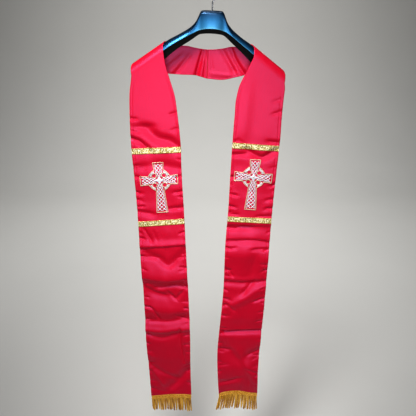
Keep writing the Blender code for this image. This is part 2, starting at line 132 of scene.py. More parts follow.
bm = bmesh.new()
profile = [Vector((-FLOOR_REACH, -FLOOR_REACH, 0.0)), Vector((-FLOOR_REACH, COVE_FROM, 0.0))]
for turn in np.linspace(0.0, math.pi / 2, COVE_STEPS + 1)[1:]:
    profile.append(Vector((-FLOOR_REACH, COVE_FROM + COVE_RADIUS * math.sin(turn),
                           COVE_RADIUS * (1 - math.cos(turn)))))
profile.append(Vector((-FLOOR_REACH, COVE_FROM + COVE_RADIUS, WALL_TOP + FLOOR_DROP * MM)))
edge = [bm.verts.new(point - Vector((0.0, 0.0, FLOOR_DROP * MM))) for point in profile]
ends = [bm.edges.new(pair) for pair in zip(edge, edge[1:])]
swept = bmesh.ops.extrude_edge_only(bm, edges=ends)
moved = [item for item in swept["geom"] if isinstance(item, bmesh.types.BMVert)]
bmesh.ops.translate(bm, verts=moved, vec=(2 * FLOOR_REACH, 0.0, 0.0))
floor = add_object("floor", smooth_mesh("floor", bm), floor_paint)

camera = bpy.data.cameras.new("camera")
camera.sensor_width = SENSOR
camera.lens = SENSOR * PHOTO_FOCAL / PHOTO_SIZE
camera.clip_start = 0.05
viewer = add_object("camera", camera)
viewer.location = CAMERA_AT
viewer.rotation_euler = (CAMERA_TILT, 0.0, 0.0)
bpy.context.scene.camera = viewer


def add_lamp(name, place, towards, power, tint, **settings):
    """An area lamp that stands at place and faces towards a point."""
    lamp = bpy.data.lights.new(name, "AREA")
    lamp.energy = power
    lamp.color = colour(tint)[:3]
    for setting, value in settings.items():
        setattr(lamp, setting, value)
    obj = add_object(name, lamp)
    obj.location = place
    obj.rotation_euler = (Vector(towards) - Vector(place)).to_track_quat("-Z", "Y").to_euler()


add_lamp("key_lamp", (-0.22, -0.62, 0.56), (0.0, 0.0, -0.72), 2.4, "#FFFFFF", shape="SQUARE",
         size=0.30, spread=math.radians(58.0))
add_lamp("front_box", (0.0, -1.90, -0.52), (-0.02, 0.0, -0.60), 2.4, "#FFFFFF", shape="RECTANGLE",
         size=0.90, size_y=0.64, spread=math.radians(80.0))
add_lamp("front_card", (0.05, -2.3, 0.62), (0.0, 0.0, -0.15), 6.0, "#F2F8FF", shape="RECTANGLE",
         size=0.36, size_y=0.24)
add_lamp("back_fill", (0.5, 1.6, -0.3), (0.0, 0.0, -0.6), 1.5, "#FFFFFF", shape="SQUARE",
         size=0.60, spread=math.radians(80.0))
add_lamp("wall_wash", (0.0, 1.0, 2.4), (0.0, 3.4, -1.6), 62.0, "#FFFFFF", shape="SQUARE",
         size=1.5, spread=math.radians(110.0))
world = bpy.data.worlds.new("studio")
world.use_nodes = True
dim_room = world.node_tree.nodes["Background"]
dim_room.inputs["Color"].default_value = colour("#DCDEE2")
dim_room.inputs["Strength"].default_value = 0.035
bpy.context.scene.world = world
bpy.context.scene.view_settings.view_transform = "Standard"
bpy.context.scene.view_settings.look = "Medium High Contrast"

# The hanger's body: one broad injection-moulded shell of pearl blue plastic with a hollow underside,
# which slopes down each side from a raised neck that takes the hook. The underside is black plastic,
# coloured darker still as painted shade of the hollow.
ARMS_ASIDE = -5.5          # x of the arms' middle, which the tables' x is measured from
HANG_TILT = math.radians(2.3)
ARM_SLOPE = math.radians(35.0)
NECK_ASIDE = 5.5
NECK_BLEND = (30.0, 98.0)  # the body leans towards its neck between these
ARM_BLEND = (30.0, 62.0)   # the neck's squarer section turns to the arm's round one between these
# Columns: out, top, front rim, back rim, half depth.
HANGER_SECTIONS = np.array([
    (0.0, -65.0, -107.0, -117.0, 15.4),
    (12.0, -65.0, -107.8, -117.4, 15.1),
    (21.5, -65.6, -109.4, -118.4, 14.3),
    (26.6, -67.2, -110.6, -119.2, 13.6),
    (29.6, -71.5, -111.4, -120.2, 13.4),
    (32.8, -79.0, -112.6, -121.8, 13.6),
    (37.2, -88.5, -114.6, -125.0, 14.4),
    (43.6, -97.6, -118.0, -129.8, 15.3),
    (52.0, -105.6, -123.0, -136.2, 16.4),
    (66.0, -115.6, -131.8, -146.0, 17.6),
    (82.0, -125.6, -142.0, -157.8, 18.8),
    (98.0, -134.6, -152.8, -171.4, 19.7),
    (110.0, -142.8, -161.2, -182.0, 20.0),
    (126.0, -154.0, -172.4, -196.0, 20.0),
    (145.0, -167.3, -185.7, -209.0, 20.0),
    (162.0, -179.2, -197.6, -219.5, 19.8),
    (173.0, -187.6, -205.6, -225.0, 18.6),
    (180.0, -195.0, -210.6, -226.0, 15.2),
    (184.0, -204.0, -214.0, -222.0, 9.0),
])
RING_ARC = 22
FACE_STEPS = 7
NECK_ROUNDING = 9.5        # height of the rounding along the neck's top
FACE_FLARE = 2.0           # the neck's front face leans out by this at its rim
FLARE_HEIGHT = 24.0
RIM_LIP = 1.5              # the least height of the front face
FACE_TURN = 0.42           # how far over the arm's top its front face reaches, in radians
RIM = 3.0
CHANNEL = 9.0
CHANNEL_HALF = 14.0        # the channel has its full depth where half the body's depth is this
MOULDED_EDGE = 0.7
SHARP_ANGLE = math.radians(42.0)


def cubic_through(knots, values, at):
    """A cubic through the values, with the slope at each knot worked out from its neighbours."""
    slopes = np.gradient(values, knots)
    index = np.clip(np.searchsorted(knots, at) - 1, 0, len(knots) - 2)
    length = knots[index + 1] - knots[index]
    share = (at - knots[index]) / length
    rise = values[index + 1] - values[index]
    start = slopes[index] * length
    end = slopes[index + 1] * length
    bend = share * (1 - share) * (start * (1 - share) - end * share + rise * (2 * share - 1))
    return values[index] + rise * share + bend


def soft_step(value, start, end):
    """0 before start, 1 after end, and a smooth rise between them."""
    share = np.clip((value - start) / (end - start), 0.0, 1.0)
    return share * share * (3 - 2 * share)


def sheet_through(name, points, cell=1.0, closed=False):
    """A grid of quads through rows of points in millimetres, with a UV map in metres, cell apart."""
    rows, columns = points.shape[:2]
    bm = bmesh.new()
    bmesh.ops.create_grid(bm, x_segments=columns - 1, y_segments=rows - 1, size=0.5)
    pattern = bm.loops.layers.uv.new("UVMap")
    for face in bm.faces:
        for loop in face.loops:
            loop[pattern].uv = ((loop.vert.co.x + 0.5) * (columns - 1) * cell * MM,
                                (loop.vert.co.y + 0.5) * (rows - 1) * cell * MM)
    for vert in bm.verts:
        column = round((vert.co.x + 0.5) * (columns - 1))
        row = round((vert.co.y + 0.5) * (rows - 1))
        vert.co = points[row, column] * MM
    if closed:
        bmesh.ops.remove_doubles(bm, verts=bm.verts, dist=1e-6)
        open_edges = [edge for edge in bm.edges if edge.is_boundary]
        bmesh.ops.holes_fill(bm, edges=open_edges, sides=0)
        bmesh.ops.recalc_face_normals(bm, faces=bm.faces)
    return smooth_mesh(name, bm)


def hang(points):
    """Tilts the hanger's own points as it hangs, and moves them to their place."""
    x, y, z = points[..., 0], points[..., 1], points[..., 2]
    tilted = [x * math.cos(HANG_TILT) + z * math.sin(HANG_TILT) + ARMS_ASIDE, y,
              z * math.cos(HANG_TILT) - x * math.sin(HANG_TILT)]
    return np.stack(tilted, axis=-1)


def hanger_ring(hand, out):
    """One upright section: up the front face, over the top, and round the channel below."""
    top, front_rim, back_rim, half = [cubic_through(HANGER_SECTIONS[:, 0], HANGER_SECTIONS[:, column], out)
                                      for column in (1, 2, 3, 4)]
    x = hand * out + NECK_ASIDE * (1.0 - soft_step(out, *NECK_BLEND))
    on_arm = soft_step(out, *ARM_BLEND)
    rise = NECK_ROUNDING + (half / math.cos(ARM_SLOPE) - NECK_ROUNDING) * on_arm
    middle = top - rise
    start_height = max(front_rim + RIM_LIP, middle)
    start = math.asin(min((start_height - middle) / rise, 0.95))
    face = half * math.cos(start)
    flare = FACE_FLARE * min(max(start_height - front_rim - RIM_LIP, 0.0) / FLARE_HEIGHT, 1.0)
    split = start + FACE_TURN * on_arm
    split_height = middle + rise * math.sin(split)
    ring = []
    for height in np.linspace(front_rim, split_height, FACE_STEPS + 1)[:-1]:
        left_to_go = max(start_height - height, 0.0) / (start_height - front_rim)
        y = -half * math.cos(math.asin(max((height - middle) / rise, math.sin(start))))
        ring.append((y - flare * left_to_go ** 2, height))
    for turn in np.linspace(split, math.pi, RING_ARC):
        ring.append((-half * math.cos(turn), middle + rise * math.sin(turn)))
    ceiling = front_rim + CHANNEL * min(half / CHANNEL_HALF, 1.0)
    rim = min(RIM, half / 2)
    inside = -face - flare + rim
    ring += [(half, back_rim), (half - rim, back_rim), (half - rim - 1.0, ceiling), (inside + 1.0, ceiling),
             (inside, front_rim), ring[0]]
    return [(x, y, z) for y, z in ring]


def grained_material(name, scale, detail, dark, light, relief, finish, spread=(0.0, 1.0)):
    """A material whose colour and relief follow one fine noise, scale to the metre.

    relief is the bump's strength and depth, finish the shader's other inputs, and spread the part
    of the noise over which dark turns to light.
    """
    material = new_material(name)
    here = add_node(material, "TexCoord").outputs["Object"]
    grain = add_node(material, "TexNoise", {"Vector": here, "Scale": scale, "Detail": detail})
    lit = add_node(material, "MapRange", {"Value": grain, 1: spread[0], 2: spread[1]})
    shade = add_node(material, "Mix", {0: lit, 6: dark, 7: light}, data_type="RGBA")
    raised = add_node(material, "Bump", {"Height": grain, "Strength": relief[0], "Distance": relief[1]})
    shader = add_node(material, "BsdfPrincipled", {
        "Base Color": shade.outputs[2], "Normal": raised, **finish})
    add_node(material, "OutputMaterial", {"Surface": shader})
    return material


# Injection-moulded ABS with pearl pigment: a soft metallic sheen with a fine glittering flake. Its colour
# is painted by place round the section: light blue along the front rim, a painted highlight, and
# nearly black over the top, a painted shade where it turns away from the eye.
pearl_blue = new_material("pearl_blue_moulded_abs")
place = add_node(pearl_blue, "TexCoord")
flake = add_node(pearl_blue, "TexNoise", {"Vector": place.outputs["Object"], "Scale": 900.0, "Detail": 1.0})
cloud = add_node(pearl_blue, "TexNoise", {"Vector": place.outputs["Object"], "Scale": 24.0, "Detail": 2.0})
section = add_node(pearl_blue, "UVMap", uv_map="UVMap")
around = add_node(pearl_blue, "SeparateXYZ", {0: section})
rounded = add_node(pearl_blue, "MapRange", {"Value": around.outputs["X"], 1: 0.0, 2: 0.029, 3: 0.0, 4: 1.0})
# The ramp paints light and shade round the section: a painted highlight at the rim, painted shade over the
# top.
painted_light_ramp = add_node(pearl_blue, "ValToRGB", {"Fac": rounded})
painted_light_ramp.color_ramp.elements[0].color = colour("#62A8C6")
painted_light_ramp.color_ramp.elements[1].color = colour("#0A2036")
RIM_HIGHLIGHT_TO_TOP_SHADE = ((0.035, "#3A86B4"), (0.12, "#2E78AA"), (0.19, "#1F5C88"), (0.25, "#12395A"), (0.33, "#0A2238"))
for position, code in RIM_HIGHLIGHT_TO_TOP_SHADE:
    painted_light_ramp.color_ramp.elements.new(position).color = colour(code)
tint = add_node(pearl_blue, "Mix", {0: flake, 6: painted_light_ramp, 7: "#2A6EA0"}, data_type="RGBA")
part_tint = add_node(pearl_blue, "Mix", {0: 0.25, 6: painted_light_ramp, 7: tint.outputs[2]}, data_type="RGBA")
gloss = add_node(pearl_blue, "MapRange", {"Value": cloud, 3: 0.30, 4: 0.38})
skin = add_node(pearl_blue, "Bump", {"Height": flake, "Strength": 0.012, "Distance": 0.0002})
plastic = add_node(pearl_blue, "BsdfPrincipled", {
    "Base Color": part_tint.outputs[2], "Roughness": gloss, "Normal": skin,
    "Metallic": 0.8, "Coat Weight": 0.25, "Coat Roughness": 0.25})
add_node(pearl_blue, "OutputMaterial", {"Surface": plastic})

# Black ABS, moulded with a fine grain over stiffening ribs: dull, and coloured darker than the plastic
# as painted shade, so dark that the shallow channel looks hollow.
black_abs_and_painted_shade = grained_material("black_ribbed_abs_painted_shade", 320.0, 2.0, "#020203", "#0A0A0C", (0.3, 0.0003),
                                {"Roughness": 0.6, "Specular IOR Level": 0.25})

# The rings stand closer where the neck and the arms' tips curve.
stations = np.concatenate([np.arange(0.0, 60.0, 2.5), np.arange(60.0, 160.0, 5.0),
                           np.arange(160.0, 184.0, 2.0), [184.0]])
rings = [hanger_ring(-1.0, out) for out in stations[:0:-1]] + [hanger_ring(1.0, out) for out in stations]
shell = hang(np.array(rings))
mesh = sheet_through("hanger_shell", shell, closed=True)
mesh.set_sharp_from_angle(angle=SHARP_ANGLE)
hanger_shell = add_object("hanger_shell", mesh, pearl_blue, black_abs_and_painted_shade)
outside = FACE_STEPS + RING_ARC    # the ring's points before the channel's
# The channel's faces take the near-black plastic: painted shade of the hollow underside.
for face in mesh.polygons:
    around = min(mesh.uv_layers["UVMap"].data[loop].uv.x for loop in face.loop_indices) / MM
    if face.loop_total == 4 and around > outside - 0.5:
        face.material_index = 1
softened = hanger_shell.modifiers.new("moulded_edges", "BEVEL")
softened.width = MOULDED_EDGE * MM
softened.segments = 2
softened.limit_method = "ANGLE"
softened.angle_limit = SHARP_ANGLE
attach(hanger_shell, "root")
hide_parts("hanger_body")

# The hook: bright steel wire with a nickel plate, cold bent over a former. Its straight shank is
# pressed into the hanger's neck, and the wire bows out above it into the loop.
HOOK_WIRE = 1.7
HOOK_INSIDE = 19.0
HOOK_SHANK_TOP = 47.0
SHANK_BOW = 2.6
NECK_TOP = 65.0
HOOK_TURN = math.radians(245.0)
HOOK_START = math.radians(-52.0)
SEAM_GAP = 0.3


def cord_mesh(name, routes, thickness, resolution=2):
    """One mesh of round cords along routes of (x, y, z, share of the thickness) in millimetres."""
    curve = bpy.data.curves.new(name, "CURVE")
    curve.dimensions = "3D"
    curve.bevel_depth = thickness
    curve.bevel_resolution = resolution
    curve.use_fill_caps = True
    for route, cyclic in routes:
        spline = curve.splines.new("POLY")
        spline.points.add(len(route) - 1)
        spline.use_cyclic_u = cyclic
        for point, (x, y, z, share) in zip(spline.points, route):
            point.co = (x, y, z, 1.0)
            point.radius = share
    guide = add_object(name, curve)
    mesh = bpy.data.meshes.new_from_object(guide.evaluated_get(bpy.context.evaluated_depsgraph_get()))
    bpy.data.objects.remove(guide)
    bpy.data.curves.remove(curve)
    mesh.name = name
    mesh.shade_smooth()
    return mesh


# Nickel plate on drawn wire: a bright mirror along its length, broken by fine hazy wear.
steel = new_material("nickel_plated_steel_wire")
place = add_node(steel, "TexCoord")
wear = add_node(steel, "TexNoise", {"Vector": place.outputs["Object"], "Scale": 160.0, "Detail": 3.0})
shade = add_node(steel, "Mix", {0: wear, 6: "#B9BBC0", 7: "#D5D6DA"}, data_type="RGBA")
dull = add_node(steel, "MapRange", {"Value": wear, 3: 0.16, 4: 0.32})
wire = add_node(steel, "BsdfPrincipled", {"Base Color": shade.outputs[2], "Metallic": 1.0,
                                          "Roughness": dull})
add_node(steel, "OutputMaterial", {"Surface": wire})

radius = HOOK_INSIDE + HOOK_WIRE
inside_top = Vector((NECK_ASIDE * math.cos(HANG_TILT), 0.0, NECK_ASIDE * math.sin(HANG_TILT)))
middle = inside_top - Vector((0.0, 0.0, HOOK_INSIDE))
turned = [middle + Vector((radius * math.cos(angle), 0.0, radius * math.sin(angle)))
          for angle in np.linspace(HOOK_START, HOOK_START + HOOK_TURN, 40)]
foot = Vector((inside_top.x, 0.0, -NECK_TOP + SEAM_GAP))
shank = Vector((inside_top.x, 0.0, -HOOK_SHANK_TOP))
bend = Vector((inside_top.x + SHANK_BOW, 0.0, (shank.z + turned[0].z) / 2 - 1.0))
route = [foot, shank, shank.lerp(bend, 0.5) - Vector((0.5, 0.0, 0.0)), bend, *turned]
hung = hang(np.array([tuple(point) for point in route]))
mesh = cord_mesh("hook_wire", [([(*point, 1.0) for point in hung], False)], HOOK_WIRE, 4)
mesh.transform(Matrix.Scale(MM, 4))
hook_wire = add_object("hook_wire", mesh, steel)
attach(hook_wire, "root")
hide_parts("hanger_hook")

# The two panels: red bridal satin, lining and interlining sewn into one flat wall, turned and
# pressed along its long edges, and joined behind the neck. Each lies over an arm of the hanger.
# Its creases are those of a stole that was folded away, and were placed one by one.
WALL = 2.0
ARM_RADIUS = 20.0
ARM_AXIS_AT = (110.0, -167.2)
WRAP_RADIUS = (ARM_RADIUS + SEAM_GAP) / math.cos(math.pi / 2 / 12) + WALL / 2
MEETS_ARM = {"left": (-197.5, -116.2), "right": (183.5, 104.0)}
WRAP_DRIFT = 0.75
CELLS_ACROSS = 72
CELL = 2.25
WRAP_CELLS = 30
BACK_CELLS = 56
EDGE_CROWD = 0.5           # how much closer the grid's lines stand at the edges
STITCHES_IN = 7.0          # from the edge to the line of stitches
STITCH_SINK = 0.6
STITCH_HALF = 1.3
GATHER_DEPTH = 0.5
GATHER_REACH = 6.5
SIDE_PHASE = {"left": 1.7, "right": 0.4}   # sets the unevenness of the two strips apart
# The puckers that run in from the edges: each value, and how far it varies from one to the next.
PUCKER_RUN = (11.0, 4.5)
PUCKER_SLANT = (1.2, 3.2)
PUCKER_DEPTH = (2.1, 0.8)
PUCKER_HALF = (2.8, 3.6)   # above and below its line
# Between these drops the smooth cloth of the shoulders starts to pucker, sag and crease.
PUCKERED_FROM = (240.0, 330.0)
UNEVEN_FROM = (300.0, 430.0)
CREASED_FROM = (380.0, 620.0)
SETTLES_IN = 70.0          # below the arm's fold, and above the hem
HEM_CALM = 0.55            # the share of a crease that the heading of the fringe irons out
HEM_CALM_OVER = (45.0, 5.0)
# Columns: drop of the outer edge, outer x, drop of the inner edge, inner x, sway towards the back.
FRONT_ROWS = {"left": [
    (1209.0, -190.0, 1197.0, -61.0, 3.0),
    (1110.0, -193.0, 1108.0, -63.0, 5.0),
    (993.0, -197.0, 993.0, -62.0, 1.0),
    (880.0, -196.5, 880.0, -64.0, 4.0),
    (720.0, -200.0, 720.0, -69.0, 0.0),
    (552.0, -202.5, 552.0, -74.5, 3.0),
    (462.0, -205.5, 462.0, -78.0, 1.5),
    (376.0, -208.5, 376.0, -79.5, 0.0),
    (316.0, -207.5, 308.0, -85.5, 0.0),
    (281.0, -206.0, 262.0, -91.5, 0.0),
    (254.0, -204.0, 222.0, -103.0, 0.0),
    (234.0, -200.5, 190.0, -112.0, 0.0),
], "right": [
    (1192.0, 151.0, 1192.0, 27.0, 4.0),
    (1113.0, 149.5, 1113.0, 22.5, 1.0),
    (1052.0, 152.0, 1052.0, 21.5, 5.0),
    (936.0, 157.0, 936.0, 29.0, 0.0),
    (826.0, 161.5, 826.0, 37.5, 3.0),
    (672.0, 166.0, 672.0, 41.5, 1.0),
    (575.0, 169.5, 575.0, 48.0, 3.0),
    (462.0, 175.0, 462.0, 52.5, 1.5),
    (376.0, 180.0, 376.0, 56.5, 0.0),
    (320.0, 181.0, 312.0, 60.5, 0.0),
    (286.0, 182.5, 268.0, 64.0, 0.0),
    (262.0, 184.0, 232.0, 74.0, 0.0),
    (246.0, 185.0, 203.0, 89.0, 0.0),
]}
# How far the hem is drawn up along the fringe's heading, from the inner to the outer edge.
HEM_RISE = {"left": (-6.9, -2.4, 0.2, -0.3, -0.2, 0.0), "right": (-9.5, -0.5, 2.5, 0.5, -4.0, -6.5)}
# Columns: upper edge x, drop, depth, then lower edge x, drop, depth.
BACK_ROWS = {"left": [
    (-62.0, 145.5, 23.5, -122.0, 211.0, 23.0),
    (-42.0, 149.5, 24.5, -80.0, 215.5, 26.0),
    (-22.0, 153.0, 25.0, -42.0, 217.5, 29.0),
    (-7.0, 154.5, 25.0, -10.5, 226.0, 31.0),
], "right": [
    (50.0, 148.0, 23.5, 104.0, 214.0, 23.0),
    (33.0, 151.5, 24.5, 64.0, 222.5, 27.0),
    (12.0, 154.0, 25.0, 30.0, 229.0, 30.0),
    (-7.0, 154.5, 25.0, -10.5, 226.0, 31.0),
]}
# Columns: x and drop of each point on the crease's line, how far it is pushed back (forward if
# negative), and its half breadth before and after the line: above and below it where it lies level.
FRONT_CREASES = {"left": [
    ((-206, 322, -195, 322), 1.2, 4, 4),
    ((-190, 343, -159, 341), 2.2, 8, 9),
    ((-206, 354, -191, 355), 1.1, 5, 6),
    ((-206, 372, -184, 381, -168, 396), 4.4, 6, 8),
    ((-157, 356, -137, 371, -106, 380, -83, 396), 5.8, 13, 15),
    ((-99, 309, -88, 305), 0.9, 4, 4),
    ((-98, 350, -85, 347), 1.0, 4, 5),
    ((-204, 451, -180, 448), 2.2, 9, 12),
    ((-129, 445, -92, 451), 3.7, 16, 16),
    ((-206, 474, -193, 477), 1.5, 4, 4),
    ((-205, 518, -191, 521), 1.5, 4, 5),
    ((-90, 476, -78, 473), 1.4, 4, 4),
    ((-94, 519, -76, 516), 1.8, 5, 5),
    ((-201, 542, -190, 545), 1.3, 4, 4),
    ((-106, 567, -76, 562), 3.2, 6, 7),
    ((-197, 575, -167, 581), 2.7, 6, 9),
    ((-183, 632, -168, 662), 2.5, 5, 4),
    ((-158, 638, -151, 659), 1.0, 4, 4),
    ((-200, 681, -137, 678, -69, 672), -3.2, 14, 3),
    ((-184, 700, -150, 716, -120, 740, -96, 718, -74, 696), 3.6, 12, 10),
    ((-201, 714, -164, 715), 2.5, 7, 7),
    ((-168, 780, -129, 784, -92, 780), -8.6, 36, 15),
    ((-84, 715, -72, 712), 1.5, 4, 4),
    ((-82, 754, -69, 750), 1.5, 4, 4),
    ((-148, 811, -95, 804, -69, 813), 3.7, 8, 8),
    ((-201, 791, -182, 796), 1.9, 5, 6),
    ((-189, 813, -166, 829, -137, 838), 4.0, 7, 16),
    ((-121, 832, -111, 842, -103, 851, -94, 840, -84, 829), 2.8, 4, 6),
    ((-185, 886, -138, 892, -73, 886), -4.6, 34, 20),
    ((-201, 875, -177, 880, -157, 915), 3.2, 4, 4),
    ((-180, 927, -128, 929, -75, 919), 3.8, 15, 8),
    ((-198, 957, -147, 963, -108, 957, -65, 952), -5.1, 14, 8),
    ((-196, 972, -145, 986, -108, 972), 2.7, 5, 10),
    ((-97, 910, -68, 924), 2.4, 4, 4),
    ((-93, 961, -91, 1012, -82, 1075), 3.8, 4, 5),
    ((-83, 965, -82, 1040), -1.6, 4, 5),
    ((-199, 1037, -184, 1052), -1.9, 8, 8),
    ((-195, 1079, -159, 1113, -112, 1140), 3.1, 8, 8),
    ((-183, 1105, -151, 1160), -2.5, 6, 6),
    ((-124, 1180, -93, 1144, -64, 1109), 8.2, 18, 10),
    ((-190, 1180, -130, 1200), 2.9, 6, 7),
    ((-196, 1113, -184, 1109), 1.4, 4, 4),
    ((-81, 1012, -63, 1008), 1.2, 4, 4),
], "right": [
    ((85, 334, 95, 235), -2.4, 26, 16),
    ((162, 277, 178, 270), 1.0, 4, 4),
    ((162, 308, 178, 301), 1.1, 5, 5),
    ((63, 381, 70, 375, 81, 381), 1.0, 4, 5),
    ((156, 381, 181, 384), 2.7, 5, 6),
    ((58, 414, 87, 414), 3.1, 5, 7),
    ((100, 406, 135, 422, 165, 406), 4.8, 7, 11),
    ((54, 478, 67, 476), 1.4, 4, 4),
    ((52, 525, 66, 528), 1.7, 4, 5),
    ((51, 559, 64, 562), 1.5, 4, 4),
    ((162, 501, 177, 498), 1.4, 4, 4),
    ((156, 543, 175, 541), 1.9, 5, 5),
    ((152, 570, 172, 567), 1.4, 4, 4),
    ((49, 583, 70, 584), 1.7, 4, 4),
    ((133, 590, 166, 589), 2.4, 4, 4),
    ((48, 618, 98, 620), 3.8, 4, 17),
    ((98, 620, 132, 621, 168, 621), 2.6, 4, 18),
    ((48, 626, 62, 629, 76, 624), 2.4, 4, 5),
    ((46, 662, 144, 664, 168, 669), 3.2, 4, 13),
    ((46, 686, 66, 684), 1.5, 4, 5),
    ((123, 689, 157, 687), 2.4, 4, 6),
    ((82, 702, 118, 700, 158, 712), -4.4, 24, 28),
    ((118, 770, 128, 716), 1.7, 14, 13),
    ((68, 774, 94, 778), 1.0, 10, 9),
    ((43, 750, 53, 757, 62, 773), 2.9, 4, 4),
    ((151, 760, 167, 755), 1.4, 4, 4),
    ((36, 793, 103, 798, 163, 791), 4.1, 6, 12),
    ((101, 826, 110, 814, 120, 801), 3.4, 7, 7),
    ((75, 863, 116, 836, 153, 813), -4.4, 12, 16),
    ((131, 858, 164, 849), 2.7, 4, 5),
    ((32, 846, 52, 853), 1.9, 4, 5),
    ((31, 877, 52, 873, 67, 887), 2.2, 4, 5),
    ((31, 908, 49, 908), 1.5, 4, 5),
    ((80, 958, 154, 957), 5.4, 44, 30),
    ((46, 967, 158, 963), 6.2, 3.8, 9),
    ((23, 957, 47, 968), 2.4, 4, 6),
    ((41, 968, 51, 1012), 1.7, 5, 5),
    ((26, 1030, 54, 1034), 2.7, 5, 6),
    ((50, 1032, 76, 1054, 98, 1064, 123, 1050, 162, 1030), 4.2, 16, 20),
    ((122, 1052, 162, 1031), 2.2, 6, 5),
    ((27, 1090, 49, 1086), 1.7, 5, 5),
    ((97, 1064, 118, 1100, 142, 1158), -5.2, 20, 10),
    ((121, 1107, 150, 1121), 2.7, 4, 4),
    ((24, 1154, 56, 1152, 88, 1140), 3.7, 6, 8),
    ((94, 1140, 98, 1188), -2, 5, 5),
    ((126, 1160, 130, 1188), -2, 5, 5),
    ((136, 1067, 157, 1056), 1.5, 4, 4),
    ((31, 1192, 69, 1184, 95, 1192), 1.7, 4, 5),
]}
# Drops of the small puckers along the outer edge, then along the inner edge.
EDGE_PUCKERS = {"left": [
    (319, 352, 373, 445, 476, 518, 541, 561, 635, 653, 690, 709, 747,
     783, 803, 843, 873, 891, 922, 972, 1004, 1037, 1079, 1113, 1148, 1180),
    (306, 347, 429, 476, 518, 535, 567, 635, 703, 747,
     783, 803, 860, 884, 932, 975, 1015, 1041, 1090, 1117, 1160),
], "right": [
    (274, 304, 378, 410, 448, 498, 541, 567, 635, 690, 738,
     754, 813, 849, 866, 894, 925, 997, 1056, 1090, 1125, 1160),
    (376, 418, 476, 523, 558, 578, 623, 681, 712, 757, 773,
     816, 849, 870, 904, 950, 975, 1008, 1037, 1075, 1113, 1144, 1184),
]}
BACK_UPPER_SHARE = 0.35    # of a neck piece's crease, at its upper edge
BACK_CALM = (0.15, 0.04)   # shares of its length over which creases fade at the arm and at the seam
BACK_STITCH = (0.3, 4.0, 1.2)
BACK_SEAM_HALF = 0.1
BACK_CREASES = [
    ((-91, 212, -74, 192, -58, 173), 3.3, 7, 6),
    ((-40, 219, -32, 190, -24, 163), 5.4, 3, 9),
    ((-28, 219, -20, 185), -2.4, 4, 5),
    ((-18, 222, -13, 156), 1.8, 2, 2),
    ((-10, 224, -6, 156), 1.4, 2, 2),
    ((0, 173, 3, 197), 1.2, 4, 4),
    ((32, 161, 44, 180, 57, 202), 3.6, 6, 8),
    ((52, 153, 64, 180, 87, 214), 3.9, 4, 7),
    ((8, 214, 44, 217), -1.4, 5, 5),
    ((-105, 194, -74, 170), 2.4, 7, 8),
]


def arm_direction(side):
    """Unit vector along the arm towards the neck, the one square to it that points up, and its slope."""
    inward = -1.0 if side == "right" else 1.0
    slope = ARM_SLOPE - inward * HANG_TILT
    along = np.array((inward * math.cos(slope), 0.0, math.sin(slope)))
    up = np.array((-inward * math.sin(slope), 0.0, math.cos(slope)))
    return along, up, slope


def arm_drop(side, x):
    """Drop of the arm's axis at this x, with the hanger tilted."""
    out, up = ARM_AXIS_AT
    if side == "left":
        out = -out
    axis_x = out * math.cos(HANG_TILT) + up * math.sin(HANG_TILT)
    axis_drop = out * math.sin(HANG_TILT) - up * math.cos(HANG_TILT)
    return axis_drop + (abs(x) - abs(axis_x)) * math.tan(arm_direction(side)[2])


def front_rows(side):
    """The strip's rows from the arm, where it starts to hang free, down to the hem."""
    outer_x, inner_x = MEETS_ARM[side]
    first = (arm_drop(side, outer_x), outer_x, arm_drop(side, inner_x), inner_x, 0.0)
    return np.array([first, *FRONT_ROWS[side][::-1]])


def front_edges(side, drop):
    """Outer x, inner drop, inner x and sway of the strip where its outer edge is at this drop."""
    rows = front_rows(side)
    return [cubic_through(rows[:, 0], rows[:, column], drop) for column in (1, 2, 3, 4)]


def smooth_line(line):
    """The line's points joined by a smooth curve, as points about 7 mm apart."""
    points = np.array(line, dtype=float).reshape(-1, 2)
    if len(points) < 3:
        return points
    walked = np.concatenate([[0.0], np.cumsum(np.hypot(*np.diff(points, axis=0).T))])
    at = np.linspace(0.0, walked[-1], math.ceil(walked[-1] / 7.0) + 1)
    return np.stack([cubic_through(walked, points[:, column], at) for column in (0, 1)], axis=-1)


def edge_creases(side):
    """The short puckers that run in from each long edge, slanting and reaching in unevenly."""
    creases = []
    for edge, drops in enumerate(EDGE_PUCKERS[side]):
        for index, drop in enumerate(drops):
            outer_x, _, inner_x, _ = front_edges(side, float(drop))
            start, inward = ((outer_x, inner_x), (inner_x, outer_x))[edge]
            run = PUCKER_RUN[0] + PUCKER_RUN[1] * math.sin(2.1 * index + edge)
            reach = math.copysign(run, inward - start)
            slant = PUCKER_SLANT[1] * math.sin(1.7 * index + 2.0 * edge) + PUCKER_SLANT[0]
            deep = PUCKER_DEPTH[0] + PUCKER_DEPTH[1] * math.sin(2.9 * index + edge)
            deep *= 0.3 + 0.6 * soft_step(drop, *CREASED_FROM)
            creases.append(((start, drop, start + reach, drop + slant), deep, *PUCKER_HALF))
    return creases


def crease_depth(creases, x, drop):
    """How far these creases push the cloth back at each place. Each fades beyond its line's ends."""
    depth = np.zeros_like(x)
    for line, deepest, before, after in creases:
        line = smooth_line(line)
        nearest = np.full_like(x, 1e9)
        shape = np.zeros_like(x)
        for (x1, drop1), (x2, drop2) in zip(line, line[1:]):
            length = math.hypot(x2 - x1, drop2 - drop1)
            along = ((x - x1) * (x2 - x1) + (drop - drop1) * (drop2 - drop1)) / length
            aside = ((drop - drop1) * (x2 - x1) - (x - x1) * (drop2 - drop1)) / length
            beyond = along - np.clip(along, 0.0, length)
            away = np.hypot(aside, beyond)
            breadth = np.where(aside < 0.0, before, after)
            bell = np.exp(-((aside / breadth) ** 2) - (beyond / (before + after)) ** 2)
            shape = np.where(away < nearest, bell, shape)
            nearest = np.minimum(away, nearest)
        depth += deepest * shape
    return depth


